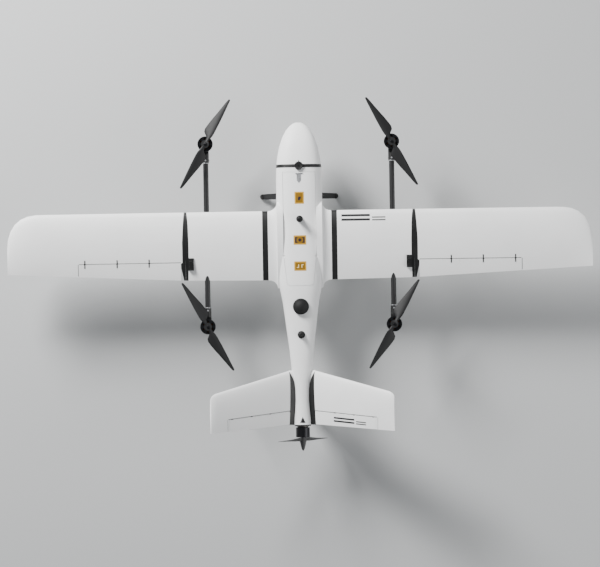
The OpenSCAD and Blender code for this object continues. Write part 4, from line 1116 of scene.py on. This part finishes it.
class DRONE_OT_tail_vent(bpy.types.Operator):
    """Triangular air outlet with louvres on top of the tail"""

    bl_idname = "drone.tail_vent"
    bl_label = "Tail vent"

    # The middle of the outlet, in millimetres from the nose, and the square it is cut from
    VENT_STATION = 1111
    VENT_SIZE = 22 * MM

    def execute(self, context):
        middle = station(self.VENT_STATION)
        vent = surface_patch(
            bpy.data.objects["fuselage_skin"], above("fuselage_skin", 0, middle), X_AXIS, Y_AXIS,
            (self.VENT_SIZE, self.VENT_SIZE), 0.8 * MM, (10, 10),
        )
        bake_place(vent)
        bpy.ops.object.mode_set(mode="EDIT")
        for sign in (1, -1):
            bpy.ops.mesh.select_all(action="SELECT")
            bpy.ops.mesh.bisect(
                plane_co=(0, middle - self.VENT_SIZE / 2, 0), plane_no=(sign * 0.9, -0.42, 0),
                clear_outer=True, use_fill=True,
            )
        bpy.ops.object.mode_set(mode="OBJECT")
        settle(vent, "tail_vent_frame", "airframe", finish("black_plastic"))
        slats = []
        for number, wide in enumerate((5, 9, 13)):
            slat = add_block(
                (wide * MM, 1.6 * MM, 1.0 * MM),
                (0, middle + (-1 + number * 4) * MM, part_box("pusher_mount")[1][2] + 0.9 * MM), (0.35, 0, 0)
            )
            round_edges(slat, 0.3 * MM, 2)
            slats.append(slat)
        settle(join_pieces(slats), "tail_vent_slats", "airframe", finish("black_plastic"))
        return {"FINISHED"}


class DRONE_OT_bay_fittings(bpy.types.Operator):
    """Straps over the battery in the equipment bay"""

    bl_idname = "drone.bay_fittings"
    bl_label = "Bay fittings"

    def execute(self, context):
        low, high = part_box("battery_pack")
        size = [b - a for a, b in zip(low, high)]
        middle = [(a + b) / 2 for a, b in zip(low, high)]
        webbing = woven_strap()
        for number, share in enumerate((0.28, 0.72)):
            strap = add_block(
                (size[0] + 2.4 * MM, 22 * MM, size[2] + 1.2 * MM),
                (middle[0], low[1] + size[1] * share, middle[2] + 0.6 * MM),
            )
            bpy.ops.object.mode_set(mode="EDIT")
            select_faces(lambda f: abs(f.normal.y) > 0.9 or f.normal.z < -0.9)
            bpy.ops.mesh.delete(type="FACE")
            bpy.ops.object.mode_set(mode="OBJECT")
            round_edges(strap, 3 * MM, 3)
            apply_modifier(strap, "SOLIDIFY", thickness=1.2 * MM, offset=-1.0)
            settle(strap, f"battery_strap_{number}", "airframe", webbing, 40)
        return {"FINISHED"}


class DRONE_OT_undercarriage(bpy.types.Operator):
    """Rubber feet and the tail skid; the carbon bow keeps the finish that every CAD node is given"""

    bl_idname = "drone.undercarriage"
    bl_label = "Undercarriage"

    def execute(self, context):
        node_skin("gear_feet", "feet", finish("rubber"))
        node_skin("tail_skid", "tail_skid_blade", finish("black_plastic"))
        return {"FINISHED"}


class DRONE_OT_cad_finishes(bpy.types.Operator):
    """Finishes on the CAD pieces that are shown as they are"""

    bl_idname = "drone.cad_finishes"
    bl_label = "CAD finishes"

    def execute(self, context):
        for node, piece in frame["nodes"].items():
            piece.data.materials.clear()
            piece.data.materials.append(finish(SLOT_OF[node]))
        return {"FINISHED"}


class DRONE_OT_stage(bpy.types.Operator):
    """Pale floor, soft studio lights and the camera above the drone"""

    bl_idname = "drone.stage"
    bl_label = "Stage"

    # name, place, width and power; the main light comes from ahead of the left wing
    LIGHTS = (
        ("key_light", (2.9, -3.7, 3.0), 1.8, 730),
        ("fill_light", (-4.0, 1.0, 2.6), 3.0, 110),
    )

    def execute(self, context):
        deselect_all()
        bpy.ops.mesh.primitive_plane_add(size=16, location=(0, 0, 0))
        floor = context.active_object
        floor.name = "studio_floor"
        floor.data.materials.append(painted_board(colours().floor))
        for name, place, width, power in self.LIGHTS:
            bpy.ops.object.light_add(type="AREA", location=place)
            light = context.active_object
            light.name = name
            light.data.size = width
            light.data.energy = power
            light.rotation_euler = (Vector((0, 0, 0.2)) - Vector(place)).to_track_quat("-Z", "Y").to_euler()
            light.visible_camera = False
        world = context.scene.world or bpy.data.worlds.new("studio")
        context.scene.world = world
        world.use_nodes = True
        background = world.node_tree.nodes["Background"]
        background.inputs["Color"].default_value = (*hex_colour("#DDE2E8"), 1)
        background.inputs["Strength"].default_value = 0.3
        self.camera(context)
        return {"FINISHED"}

    def camera(self, context):
        wing_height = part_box("carbon_spars")[0][2]
        place = (2.1 * MM, station(602.9), wing_height + sizes().camera_height)
        bpy.ops.object.camera_add(location=place, rotation=(0, 0, math.pi - sizes().view_roll))
        camera = context.active_object
        camera.name = "camera_above"
        camera.data.sensor_width = 36
        camera.data.lens = 36 * sizes().camera_height / sizes().view_width
        camera.data.clip_end = 100
        context.scene.camera = camera


class DRONE_PT_panel(bpy.types.Panel):
    """Buttons and settings for the drone"""

    bl_label = "Fixed Wing Drone"
    bl_idname = "DRONE_PT_panel"
    bl_space_type = "VIEW_3D"
    bl_region_type = "UI"
    bl_category = "Drone"

    def draw(self, context):
        column = self.layout.column()
        for group in (context.scene.drone_colours, context.scene.drone_sizes):
            for key in group.bl_rna.properties.keys():
                if key not in ("rna_type", "name"):
                    column.prop(group, key)
        for operator in OPERATORS:
            column.operator(operator.bl_idname)


OPERATORS = (
    DRONE_OT_stage,
    DRONE_OT_cad_finishes,
    DRONE_OT_foam_skins,
    DRONE_OT_black_skins,
    DRONE_OT_service_plates,
    DRONE_OT_wing_marks,
    DRONE_OT_surface_hinges,
    DRONE_OT_nose_latch,
    DRONE_OT_hatch_keeper,
    DRONE_OT_roof_pieces,
    DRONE_OT_lift_motors,
    DRONE_OT_boom_bands,
    DRONE_OT_pusher,
    DRONE_OT_tail_vent,
    DRONE_OT_bay_fittings,
    DRONE_OT_undercarriage,
)
CLASSES = (DroneColours, DroneSizes, *OPERATORS, DRONE_PT_panel)


def register():
    for cls in CLASSES:
        bpy.utils.register_class(cls)
    bpy.types.Scene.drone_colours = PointerProperty(type=DroneColours)
    bpy.types.Scene.drone_sizes = PointerProperty(type=DroneSizes)


def unregister():
    del bpy.types.Scene.drone_sizes
    del bpy.types.Scene.drone_colours
    for cls in reversed(CLASSES):
        bpy.utils.unregister_class(cls)


def main():
    register()
    MATERIALS["copper"] = enamelled_copper()
    bpy.ops.drone.stage()
    bpy.ops.drone.cad_finishes()
    bpy.ops.drone.foam_skins()
    bpy.ops.drone.black_skins()
    bpy.ops.drone.service_plates()
    bpy.ops.drone.wing_marks()
    bpy.ops.drone.surface_hinges()
    bpy.ops.drone.nose_latch()
    bpy.ops.drone.hatch_keeper()
    bpy.ops.drone.roof_pieces()
    bpy.ops.drone.lift_motors()
    bpy.ops.drone.boom_bands()
    bpy.ops.drone.pusher()
    bpy.ops.drone.tail_vent()
    bpy.ops.drone.bay_fittings()
    bpy.ops.drone.undercarriage()


if __name__ == "__main__":
    main()
